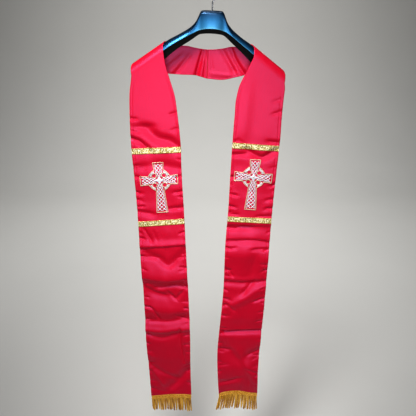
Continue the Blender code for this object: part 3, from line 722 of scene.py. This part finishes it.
def cloth_depth(side, x, drop, across, width):
    """Creases, seam line, gathered edges and slight unevenness of the front strip.

    The unevenness is the sum of three waves under 1 mm, whose lengths share no common measure.
    """
    from_edge = np.minimum(across, 1.0 - across) * width
    stitches = STITCH_SINK * np.exp(-(((from_edge - STITCHES_IN) / STITCH_HALF) ** 2))
    hand = SIDE_PHASE[side]
    gather = np.sin(drop / 3.9 + 2.2 * np.sin(drop / 27.0 + hand))
    gather = gather * (0.6 + 0.4 * np.sin(drop / 41.0 + 3.0 * hand))
    puckers = GATHER_DEPTH * gather * np.exp(-((from_edge / GATHER_REACH) ** 2))
    puckers = puckers * soft_step(drop, *PUCKERED_FROM)
    uneven = (0.55 * np.sin(drop / 13.7 + x / 21.0 + hand) * np.sin(x / 17.0 - drop / 37.0)
              + 0.45 * np.sin(drop / 22.0 - x / 33.0 + 2.0 * hand)
              + 0.22 * np.sin(drop / 7.9 - x / 9.5 + hand) * np.sin(x / 12.0 + drop / 19.0))
    uneven = uneven * soft_step(drop, *UNEVEN_FROM)
    hem = FRONT_ROWS[side][0][0]
    calm = HEM_CALM * soft_step(drop, hem - HEM_CALM_OVER[0], hem - HEM_CALM_OVER[1])
    creased = crease_depth(FRONT_CREASES[side] + edge_creases(side), x, drop)
    return creased * (1.0 - calm) + stitches + puckers + uneven


def hem_rise(side, across):
    """How far the hem is drawn up at this share of the way from its inner to its outer edge."""
    return cubic_through(np.linspace(0.0, 1.0, 6), np.array(HEM_RISE[side]), across)


def front_place(side, drop, across):
    """Points of the front strip: drop is the outer edge's, and across runs from inner to outer."""
    outer_x, inner_drop, inner_x, sway = front_edges(side, drop)
    hem = FRONT_ROWS[side][0][0]
    x = inner_x + (outer_x - inner_x) * across
    here = inner_drop + (drop - inner_drop) * across
    fold = front_rows(side)[0, 0]
    depth = sway + cloth_depth(side, x, here, across, np.abs(outer_x - inner_x))
    here = here - hem_rise(side, across) * soft_step(drop, hem - SETTLES_IN, hem)
    return np.stack([x, depth * soft_step(drop, fold, fold + SETTLES_IN) - WRAP_RADIUS, -here], axis=-1)


def wrap_place(side, turn, across):
    """Points of the cloth over the arm: turn runs from 0 in front to pi behind."""
    along, up, slope = arm_direction(side)
    start = front_place(side, np.full_like(across, front_rows(side)[0, 0]), across)
    start[..., 1] = 0.0
    around = np.stack([up[0] * np.sin(turn), -np.cos(turn), up[2] * np.sin(turn)], axis=-1)
    drift = WRAP_DRIFT * WRAP_RADIUS * turn * math.tan(slope)
    return start + around * WRAP_RADIUS + along * drift[..., None]


def back_place(side, place, across):
    """Points of the neck piece: place runs from 0 at the arm to 1 at the centre back seam."""
    ends = wrap_place(side, np.full(2, math.pi), np.array([0.0, 1.0]))
    first = (ends[0, 0], -ends[0, 2], ends[0, 1], ends[1, 0], -ends[1, 2], ends[1, 1])
    columns = np.array([first, *BACK_ROWS[side]]).T
    knots = np.linspace(0.0, 1.0, columns.shape[1])
    x1, drop1, depth1, x2, drop2, depth2 = [cubic_through(knots, column, place) for column in columns]
    x = x1 + (x2 - x1) * across
    drop = drop1 + (drop2 - drop1) * across
    height = np.hypot(x2 - x1, drop2 - drop1)
    from_edge = np.minimum(across, 1.0 - across) * height
    seam = soft_step(1.0 - place, 0.0, BACK_CALM[1])
    share = BACK_UPPER_SHARE + (1.0 - BACK_UPPER_SHARE) * across
    depth = crease_depth(BACK_CREASES, x, drop) * share * seam * soft_step(place, 0.0, BACK_CALM[0])
    sink, stitches_in, half = BACK_STITCH
    depth += sink * np.exp(-(((from_edge - stitches_in) / half) ** 2)) * soft_step(place, 0.0, 0.1)
    inward = -1.0 if side == "right" else 1.0
    x = x - inward * soft_step(place, 0.8, 1.0) * BACK_SEAM_HALF
    return np.stack([x, depth1 + (depth2 - depth1) * across + depth, -drop], axis=-1)


def on_strip(side, x, drop, lift):
    """The place on the front strip's face at each x and drop, moved out towards the front."""
    outer_x, _, inner_x, _ = front_edges(side, drop)
    points = front_place(side, drop, (x - inner_x) / (outer_x - inner_x))
    return np.stack([x + ARMS_ASIDE, points[..., 1] - WALL / 2 - lift, -drop], axis=-1)


# Bridal satin, woven of bright filament with long floats: smooth, with a broad soft lustre along
# each fold, pink where it faces the light and a deep red where it turns away.
satin = new_material("red_bridal_satin")
cut = add_node(satin, "UVMap", uv_map="UVMap")
slub_scale = add_node(satin, "Mapping", {"Vector": cut, "Scale": (1.0, 0.10, 1.0)})
slubs = add_node(satin, "TexNoise", {"Vector": slub_scale, "Scale": 520.0, "Detail": 3.0})
cloudy = add_node(satin, "TexNoise", {"Vector": cut, "Scale": 26.0, "Detail": 3.0})
# The real floats are about 0.2 mm wide and 1 mm long. They are drawn five times as large to show.
float_scale = add_node(satin, "Mapping", {"Vector": cut, "Rotation": (0.0, 0.0, math.pi / 2)})
floats = add_node(satin, "TexBrick", {
    "Vector": float_scale, "Color1": (1.0, 1.0, 1.0, 1.0), "Color2": (0.8, 0.8, 0.8, 1.0),
    "Mortar": (0.0, 0.0, 0.0, 1.0), "Scale": 1.0, "Mortar Size": 0.00012, "Mortar Smooth": 1.0,
    "Brick Width": 0.005, "Row Height": 0.001}, offset=0.5)
ground = add_node(satin, "Mix", {0: cloudy, 6: "#C00020", 7: "#CE0226"}, data_type="RGBA")
threads = add_node(satin, "Mix", {0: slubs, 6: ground.outputs[2], 7: "#D8042A"}, data_type="RGBA")
lustre = add_node(satin, "MapRange", {"Value": slubs, 3: 0.37, 4: 0.51})
weave = add_node(satin, "Bump", {"Height": floats.outputs["Color"], "Strength": 0.16, "Distance": 0.0003})
slub_bump = add_node(satin, "Bump", {"Height": slubs, "Strength": 0.18, "Distance": 0.0005,
                                     "Normal": weave})
warp = add_node(satin, "Tangent", direction_type="UV_MAP", uv_map="UVMap")
cloth = add_node(satin, "BsdfPrincipled", {
    "Base Color": threads.outputs[2], "Roughness": lustre, "Normal": slub_bump,
    "Tangent": warp, "Anisotropic": 0.4,
    "Specular IOR Level": 0.9, "Specular Tint": "#FFACFF",
    "Sheen Weight": 0.06, "Sheen Roughness": 0.35, "Sheen Tint": "#FF7098"})
add_node(satin, "OutputMaterial", {"Surface": cloth})

# Shares of the wall's thickness at the edge and at the three rows of points inside it.
PRESSED_EDGE = (0.35, 0.75, 0.92, 1.0)
for side in ("left", "right"):
    hem = FRONT_ROWS[side][0][0]
    fold = front_rows(side)[0, 0]
    front_cells = round((hem - fold) / CELL)
    down = np.arange(front_cells + WRAP_CELLS + BACK_CELLS + 1, dtype=float)[:, None]
    even = np.linspace(0.0, 1.0, CELLS_ACROSS + 1)[None, :]
    across = np.broadcast_to(even - EDGE_CROWD * np.sin(2 * math.pi * even) / (2 * math.pi),
                             (len(down), CELLS_ACROSS + 1))
    drop = np.broadcast_to(hem + (fold - hem) * np.clip(down / front_cells, 0.0, 1.0), across.shape)
    turn = np.broadcast_to(math.pi * np.clip((down - front_cells) / WRAP_CELLS, 0.0, 1.0), across.shape)
    place = np.broadcast_to(np.clip((down - front_cells - WRAP_CELLS) / BACK_CELLS, 0.0, 1.0), across.shape)
    points = front_place(side, drop, across)
    points = np.where(down[..., None] > front_cells, wrap_place(side, turn, across), points)
    points = np.where(down[..., None] > front_cells + WRAP_CELLS, back_place(side, place, across), points)
    points[..., 0] += ARMS_ASIDE
    mesh = sheet_through("satin_panel_" + side, points, cell=CELL)
    panel = add_object("satin_panel_" + side, mesh, satin)
    pressed = panel.vertex_groups.new(name="pressed_edge")
    for index in range(len(mesh.vertices)):
        column = index % (CELLS_ACROSS + 1)
        from_rim = min(column, CELLS_ACROSS - column)
        pressed.add([index], PRESSED_EDGE[min(from_rim, 3)], "REPLACE")
    wall = panel.modifiers.new("wall", "SOLIDIFY")
    wall.thickness = WALL * MM
    wall.offset = 0.0
    wall.vertex_group = "pressed_edge"
    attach(panel, "root")
    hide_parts("stole_panel_" + side)

# The trim: four bands of woven metallic galloon, sewn across the strips along both long edges.
# Fine gilt borders stand proud of a pale lurex ground with a row of small four-petalled flowers.
TRIM_WIDTH = 15.0
TRIM_LIFT = 0.35
TRIM_ENDS = (0.003, 0.997)
TRIM_CELLS = (190, 26)
GALLOON_THICK = 0.6
FIGURE_RAISED = 0.45
FLOWER_PITCH = 15.5
PETAL = 4.0
# Columns: side, drop of the middle at the outer edge, and at the inner edge.
TRIMS = {
    "trim_left_upper": ("left", 406.5, 402.0),
    "trim_left_lower": ("left", 612.5, 603.5),
    "trim_right_upper": ("right", 399.5, 390.0),
    "trim_right_lower": ("right", 603.0, 597.0),
}


def galloon_figure(along, up):
    """How far the woven figure stands proud at each place of the band, 0 to 1, in millimetres."""
    border = np.exp(-(((np.abs(up) - 6.2) / 0.9) ** 2))
    flower = np.floor(along / FLOWER_PITCH)
    beside = along - (flower + 0.5) * FLOWER_PITCH
    above = up - np.where(flower % 2 == 0, 0.8, -0.8)
    reach = np.hypot(beside, above)
    petals = PETAL * (0.55 + 0.45 * np.cos(4 * np.arctan2(above, beside) + math.pi))
    bloom = 1.0 - soft_step(reach, petals - 0.7, petals + 0.5)
    eye = np.exp(-((reach / 0.8) ** 2))
    stem = np.exp(-(((up - 3.4 * np.sin(2 * math.pi * along / (2 * FLOWER_PITCH))) / 0.6) ** 2)) * 0.7
    return np.clip(np.maximum.reduce([border, bloom * (1 - eye), stem]), 0.0, 1.0)


# Lurex and gilt thread, woven on a narrow loom: a pale ground of olive and pale flecks, partly the
# thread's own colour and partly painted glints, as of flecks that each catch the light on their own,
# under closer and yellower gold figures.
galloon = new_material("woven_gilt_galloon")
cut = add_node(galloon, "UVMap", uv_map="UVMap")
figure = add_node(galloon, "Attribute", attribute_name="figure")
# The real threads and flecks are about 0.3 mm wide. They are drawn about 2 mm wide to show.
thread_scale = add_node(galloon, "Mapping", {"Vector": cut, "Scale": (1.0, 0.35, 1.0)})
glitter = add_node(galloon, "TexNoise", {"Vector": thread_scale, "Scale": 480.0, "Detail": 2.0})
ribs = add_node(galloon, "TexWave", {"Vector": cut, "Scale": 170.0, "Distortion": 0.6}, bands_direction="X")
# The ground's pale flecks are partly painted glints.
lurex_ground_and_glints = add_node(galloon, "ValToRGB", {"Fac": glitter})
lurex_ground_and_glints.color_ramp.elements[0].position = 0.43
lurex_ground_and_glints.color_ramp.elements[0].color = colour("#80701A")
lurex_ground_and_glints.color_ramp.elements[1].position = 0.51
lurex_ground_and_glints.color_ramp.elements[1].color = colour("#F8F0C4")
gilt = add_node(galloon, "Mix", {0: glitter, 6: "#6A5608", 7: "#E0BB2A"}, data_type="RGBA")
tone = add_node(galloon, "Mix", {0: figure.outputs["Fac"], 6: lurex_ground_and_glints, 7: gilt.outputs[2]},
                data_type="RGBA")
ribbed = add_node(galloon, "Bump", {"Height": ribs.outputs["Fac"], "Strength": 0.35, "Distance": 0.0003})
sharp = add_node(galloon, "Bump", {"Height": glitter, "Strength": 0.5, "Distance": 0.0006,
                                   "Normal": ribbed})
braid = add_node(galloon, "BsdfPrincipled", {
    "Base Color": tone.outputs[2], "Metallic": 0.3, "Roughness": 0.34, "Normal": sharp})
add_node(galloon, "OutputMaterial", {"Surface": braid})

ON_PANEL = {"left": [], "right": []}
for name, (side, outer_drop, inner_drop) in TRIMS.items():
    across = np.linspace(*TRIM_ENDS, TRIM_CELLS[0] + 1)[None, :]
    up = np.linspace(-0.5, 0.5, TRIM_CELLS[1] + 1)[:, None] * TRIM_WIDTH
    drop = inner_drop + (outer_drop - inner_drop) * across - up
    outer_x, _, inner_x, _ = front_edges(side, drop)
    x = inner_x + (outer_x - inner_x) * across
    along = np.abs(x - inner_x)
    raised = galloon_figure(along, up + 0.0 * along)
    points = on_strip(side, x, drop, SEAM_GAP + TRIM_LIFT + FIGURE_RAISED * raised)
    mesh = sheet_through(name + "_galloon", points, cell=TRIM_WIDTH / TRIM_CELLS[1])
    shown = mesh.attributes.new("figure", "FLOAT", "POINT")
    for index, vert in enumerate(mesh.vertices):
        row, column = divmod(index, TRIM_CELLS[0] + 1)
        shown.data[index].value = raised[row, column]
    band = add_object(name + "_galloon", mesh, galloon)
    woven = band.modifiers.new("woven", "SOLIDIFY")
    woven.thickness = GALLOON_THICK * MM
    woven.offset = 0.0
    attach(band, "root")
    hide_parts(name)
    ON_PANEL[side].append(band)

# The crosses: ringed crosses machine embroidered straight on the satin. A tan-gold satin-stitch
# cord follows the outline, a silver cord runs inside it, and four silver strands are plaited along
# each limb, with the red satin showing between them. A silver boss covers their meeting.
CROSS_REACH = (50.0, 49.5, 52.5, 93.0)         # right, top, left, foot
CROSS_WAIST = 9.5
CROSS_RING_OUTER = 31.5
CROSS_END_HALF = (14.0, 15.0, 14.0, 16.5)      # right, top, left, foot
OUTLINE_HALF = 1.15
HOLE_MIDDLE = 13.3
HOLE_RADIUS = 6.3
STRAND_HALF = 1.12
STRAND_STEP = 1.4
STRAND_HEAPED = 0.9        # how far a strand rises where it passes over another
STRAND_STRAIGHT = 0.9      # at 1 the strands would run straight and turn back in a point
BESIDE_PLAIT = 1.6
BESIDE_SHARE = 0.62        # of a strand's thickness
RING_BARS = (25.8, 28.0)   # radii of the two silver cords in each quarter of the ring
RING_BAR_SHARE = 0.9
RING_BAR_ARC = (math.radians(27.0), math.radians(63.0))
BOSS_STAR = (6.6, 4.6)     # its least radius, and what its four points add
BOSS_HEIGHT = 1.9
# How far the middles of the cords and of the boss stand off the satin.
OUTLINE_LIFT = 0.65
PLAIT_LIFT = 0.75
BOSS_LIFT = 0.9
PLAIT_INSET = 5.4          # from the limb's edge to the middle of the strands at their widest
# The plait's real diamonds are about 9.2 mm long. They are drawn 11 mm long to show, four to a period.
PLAIT_PERIOD = 44.0
PLAIT_FROM = 9.0
STITCH_HEIGHT = 0.42       # height of a cord as a share of its breadth
# Columns: side, middle of the ring x, drop, lean
CROSSES = {
    "cross_left": ("left", -137.8, 485.0, math.radians(-3.2)),
    "cross_right": ("right", 114.5, 477.0, math.radians(4.0)),
}


def limb_sizes(limb):
    """How far a limb reaches, and how fast each of its sides flares."""
    reach = CROSS_REACH[limb]
    return reach, (CROSS_END_HALF[limb] - CROSS_WAIST) / reach


def turned_about(points, limb):
    """Turns (along, aside) points of the first limb to this limb's place."""
    turn = limb * math.pi / 2
    return [(x * math.cos(turn) - y * math.sin(turn), x * math.sin(turn) + y * math.cos(turn))
            for x, y in points]


def arc_points(radius, start, end, steps):
    """Points of an arc round the ring's middle, from one angle to another."""
    angles = np.linspace(start, end, steps + 1)
    return [(radius * math.cos(angle), radius * math.sin(angle)) for angle in angles]


def outline_routes(inset):
    """The outer outline and the four holes' outlines, drawn in from the edge by inset."""
    outer = []
    holes = []
    for limb in range(4):
        reach, flare = limb_sizes(limb)
        _, next_flare = limb_sizes((limb + 1) % 4)
        waist = CROSS_WAIST - inset
        ring = CROSS_RING_OUTER - inset
        end_half = waist + flare * reach
        leave = math.asin((waist + flare * ring) / ring)
        meet = math.asin((waist + next_flare * ring) / ring)
        limb_end = [(reach - inset, -end_half), (reach - inset, end_half)]
        outer += turned_about(limb_end + arc_points(ring, leave, math.pi / 2 - meet, 12), limb)
        circle = arc_points(HOLE_RADIUS, 0.0, 2 * math.pi, 20)[:-1]
        hole = [(HOLE_MIDDLE + x, HOLE_MIDDLE + y) for x, y in circle]
        holes.append(turned_about(hole, limb))
    return outer, holes


def plait_strand(limb, strand):
    """One of four strands that run from side to side of a limb, over one and under the next."""
    reach, flare = limb_sizes(limb)
    end = reach - 2 * OUTLINE_HALF - 2.6
    route = []
    for along in np.arange(PLAIT_FROM, end, STRAND_STEP):
        beat = along / PLAIT_PERIOD + strand / 4
        swing = math.asin(STRAND_STRAIGHT * math.cos(2 * math.pi * beat)) / math.asin(STRAND_STRAIGHT)
        half = CROSS_WAIST + flare * along - PLAIT_INSET
        crossing = -math.cos(8 * math.pi * beat) * math.copysign(1.0, math.sin(2 * math.pi * beat))
        crossing *= min(1.0, 3.0 * abs(math.sin(2 * math.pi * beat)))
        (x, y), = turned_about([(along, swing * half)], limb)
        route.append((x, y, crossing * STRAND_HEAPED, 1.0))
    return route


# Rayon thread in machine satin stitch: glossy threads side by side, which give a white sheen with
# fine grey lines. The real lines are 0.4 mm apart. They are drawn about 1 mm apart to show.
silver_thread = grained_material("silver_rayon_embroidery", 900.0, 2.0, "#BCBACA", "#FFFFFF", (0.5, 0.0004), {
    "Roughness": 0.42, "Metallic": 0.15, "Sheen Weight": 0.3, "Sheen Roughness": 0.4})
# The same stitch in tan-gold rayon over a cord: a warm and duller line that rims the silver.
tan_thread = grained_material("tan_gold_rayon_embroidery", 900.0, 2.0, "#B8987A", "#F4E2C4", (0.5, 0.0004), {
    "Roughness": 0.42, "Metallic": 0.25, "Sheen Weight": 0.2, "Sheen Roughness": 0.4})


def close_points(route, step):
    """The closed route with points no further apart than step, so that it can follow the cloth."""
    filled = []
    for (x1, y1), (x2, y2) in zip(route, route[1:] + route[:1]):
        parts = max(1, math.ceil(math.hypot(x2 - x1, y2 - y1) / step))
        for part in range(parts):
            filled.append((x1 + (x2 - x1) * part / parts, y1 + (y2 - y1) * part / parts, 0.0, 1.0))
    return filled


def lay_on_strip(mesh, name, height, flatten):
    """Flattens embroidery that was drawn round the ring's middle, and lays it on the strip."""
    side, middle_x, middle_drop, lean = CROSSES[name]
    drawn = np.array([vert.co for vert in mesh.vertices])
    x = middle_x + drawn[:, 0] * math.cos(lean) + drawn[:, 1] * math.sin(lean)
    drop = middle_drop - (drawn[:, 1] * math.cos(lean) - drawn[:, 0] * math.sin(lean))
    places = on_strip(side, x, drop, height + drawn[:, 2] * flatten) * MM
    mesh.vertices.foreach_set("co", places.ravel())
    mesh.update()


for name, (side, *_) in CROSSES.items():
    outer, holes = outline_routes(OUTLINE_HALF)
    knot = [(x, y, 3.4, 0.6) for x, y in arc_points(1.0, 0.0, 2 * math.pi, 10)[:-1]]
    cords = [(close_points(route, 3.0), True) for route in (outer, *holes)] + [(knot, True)]
    mesh = cord_mesh(name + "_outline", cords, OUTLINE_HALF, 1)
    lay_on_strip(mesh, name, SEAM_GAP + OUTLINE_LIFT, STITCH_HEIGHT)
    outline = add_object(name + "_outline", mesh, tan_thread)

    cords = []
    for limb in range(4):
        cords += [(plait_strand(limb, strand), False) for strand in range(4)]
        reach, flare = limb_sizes(limb)
        for hand in (-1.0, 1.0):
            beside = [(along, hand * (CROSS_WAIST + flare * along - PLAIT_INSET + BESIDE_PLAIT))
                      for along in np.arange(PLAIT_FROM + 4.0, reach - 2 * OUTLINE_HALF - 1.5, 3.0)]
            cords.append(([(x, y, -0.8, BESIDE_SHARE) for x, y in turned_about(beside, limb)], False))
        for radius in RING_BARS:
            arc = turned_about(arc_points(radius, *RING_BAR_ARC, 12), limb)
            cords.append(([(x, y, 0.0, RING_BAR_SHARE) for x, y in arc], False))
    mesh = cord_mesh(name + "_plait", cords, STRAND_HALF, 1)
    lay_on_strip(mesh, name, SEAM_GAP + PLAIT_LIFT, STITCH_HEIGHT)
    plait = add_object(name + "_plait", mesh, silver_thread)

    bm = bmesh.new()
    bmesh.ops.create_icosphere(bm, subdivisions=4, radius=1.0)
    for vert in bm.verts:
        angle = math.atan2(vert.co.y, vert.co.x)
        star = BOSS_STAR[0] + BOSS_STAR[1] * math.cos(2 * angle) ** 4
        vert.co = (vert.co.x * star, vert.co.y * star, vert.co.z * BOSS_HEIGHT)
    mesh = smooth_mesh(name + "_boss", bm)
    lay_on_strip(mesh, name, SEAM_GAP + BOSS_LIFT, 0.45)
    boss = add_object(name + "_boss", mesh, silver_thread)

    for piece in (outline, plait, boss):
        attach(piece, "root")
    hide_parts(name)
    ON_PANEL[side] += [outline, plait, boss]

# The fringes: gold bullion fringe below each hem. Three twisted cords make its heading, sewn one
# under the other, and two-ply twisted strands hang from the lowest.
HEADING_HEIGHT = 14.0
HEADING_CORDS = 3
HEADING_PLY = 0.6          # share of a heading cord's radius
HEADING_WIND = (0.9, 0.95)  # how far its plies wind out, and up and down
HEADING_POINTS = 96
TWIST = 11.0               # length of one turn of a heading cord
STRANDS = 32
STRAND_POINTS = 26
STRAND_TURNS = 4.5
PLY = 1.42
PLY_WIND = 1.1
TIP_FROM = 0.93            # the share of its length at which a strand starts to narrow to its tip
# Columns: drop of the strands' ends, how far they spread at the inner and at the outer end
FRINGES = {"left": (1265.5, 1.5, -1.0), "right": (1261.5, -12.0, 1.0)}

# Bullion fringe, spun tight of gold rayon and gilt. Its colour is partly painted light: a fine noise
# of deep amber, painted shade as between the strands, and a bright yellow on tufts drawn out down the
# fringe, a painted highlight as on tufts that face the light.
gold_fringe = new_material("gold_bullion_fringe")
place = add_node(gold_fringe, "TexCoord")
strands = add_node(gold_fringe, "TexNoise", {
    "Vector": place.outputs["Object"], "Scale": 420.0, "Detail": 3.0})
drawn_down = add_node(gold_fringe, "Mapping", {"Vector": place.outputs["Object"], "Scale": (1.0, 1.0, 0.12)})
tufts = add_node(gold_fringe, "TexNoise", {"Vector": drawn_down, "Scale": 260.0, "Detail": 1.0})
# Painted highlight: the tufts' noise brightens the colour towards yellow.
tuft_highlight_mask = add_node(gold_fringe, "MapRange", {"Value": tufts, 1: 0.36, 2: 0.62, 3: 0.0, 4: 1.0})
deep = add_node(gold_fringe, "Mix", {0: strands, 6: "#8A5008", 7: "#E8A028"}, data_type="RGBA")
bright = add_node(gold_fringe, "Mix", {0: tuft_highlight_mask, 6: deep.outputs[2], 7: "#FFCE58"}, data_type="RGBA")
spun = add_node(gold_fringe, "Bump", {"Height": strands, "Strength": 0.6, "Distance": 0.0006})
bullion = add_node(gold_fringe, "BsdfPrincipled", {"Base Color": bright.outputs[2], "Metallic": 0.3,
                                                   "Roughness": 0.38, "Normal": spun})
add_node(gold_fringe, "OutputMaterial", {"Surface": bullion})

# Cord twisted of the same gold, whose threads lie closer: smoother and brighter than the strands.
heading_cord = grained_material("gold_twisted_cord", 360.0, 3.0, "#D88E18", "#FFD060", (0.5, 0.0006),
                                {"Metallic": 0.25, "Roughness": 0.34}, spread=(0.40, 0.60))

for side, (end_drop, spread_inner, spread_outer) in FRINGES.items():
    hem = FRONT_ROWS[side][0][0]
    shares = np.linspace(0.006, 0.994, HEADING_POINTS)
    hem_line = front_place(side, np.full_like(shares, hem), shares)
    hem_line[:, 0] += ARMS_ASIDE
    cord_radius = HEADING_HEIGHT / HEADING_CORDS / 2
    cords = []
    for row in range(HEADING_CORDS):
        hand = 1.0 if row % 2 == 0 else -1.0
        for ply in range(2):
            route = []
            for share, (x, y, z) in zip(shares, hem_line):
                turn = hand * 2 * math.pi * abs(x) / TWIST + ply * math.pi
                out = HEADING_WIND[0] * math.cos(turn)
                up = HEADING_WIND[1] * math.sin(turn)
                down = SEAM_GAP + cord_radius * (2 * row + 1)
                route.append((x, y + out, z - down + up, cord_radius * HEADING_PLY))
            cords.append((route, False))
    for strand in range(STRANDS):
        share = (strand + 0.5) / STRANDS
        root = front_place(side, np.array([hem]), np.array([0.01 + 0.98 * share]))[0]
        root_x = root[0] + ARMS_ASIDE
        root_z = root[2] - SEAM_GAP - HEADING_HEIGHT + 1.0
        spread = spread_inner + (spread_outer - spread_inner) * share
        # No two strands fall alike: they differ in length, lean and swing.
        ragged = 2.8 * math.sin(strand * 2.4) + 1.6 * math.sin(strand * 0.9)
        length = end_drop - 0.8 * hem_rise(side, share) + root_z + ragged
        lean = 2.3 * math.sin(strand * 2.7 + 0.6) + 1.2 * math.sin(strand * 5.1)
        swing = 1.4 * math.sin(strand * 1.7)
        for ply in range(2):
            route = []
            for fall in np.linspace(0.0, 1.0, STRAND_POINTS):
                turn = 2 * math.pi * STRAND_TURNS * fall + ply * math.pi + strand
                close = PLY_WIND * (1.0 - 0.5 * soft_step(fall, TIP_FROM, 1.0))
                x = root_x + spread * fall + lean * fall ** 1.6 + close * math.cos(turn)
                y = root[1] + swing * fall + close * math.sin(turn)
                thick = PLY * (1.0 - 0.55 * soft_step(fall, TIP_FROM, 1.0))
                route.append((x, y, root_z - length * fall, thick))
            cords.append((route, False))
    mesh = cord_mesh("bullion_fringe_" + side, cords, 1.0, 1)
    mesh.transform(Matrix.Scale(MM, 4))
    fringe = add_object("bullion_fringe_" + side, mesh, gold_fringe, heading_cord)
    hem_across = hem_line[np.argsort(hem_line[:, 0])] * MM
    for face in mesh.polygons:
        below = np.interp(face.center.x, hem_across[:, 0], hem_across[:, 2]) - face.center.z
        face.material_index = 1 if below < (HEADING_HEIGHT + SEAM_GAP) * MM else 0
    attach(fringe, "root")
    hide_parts("fringe_" + side)
    ON_PANEL[side].append(fringe)
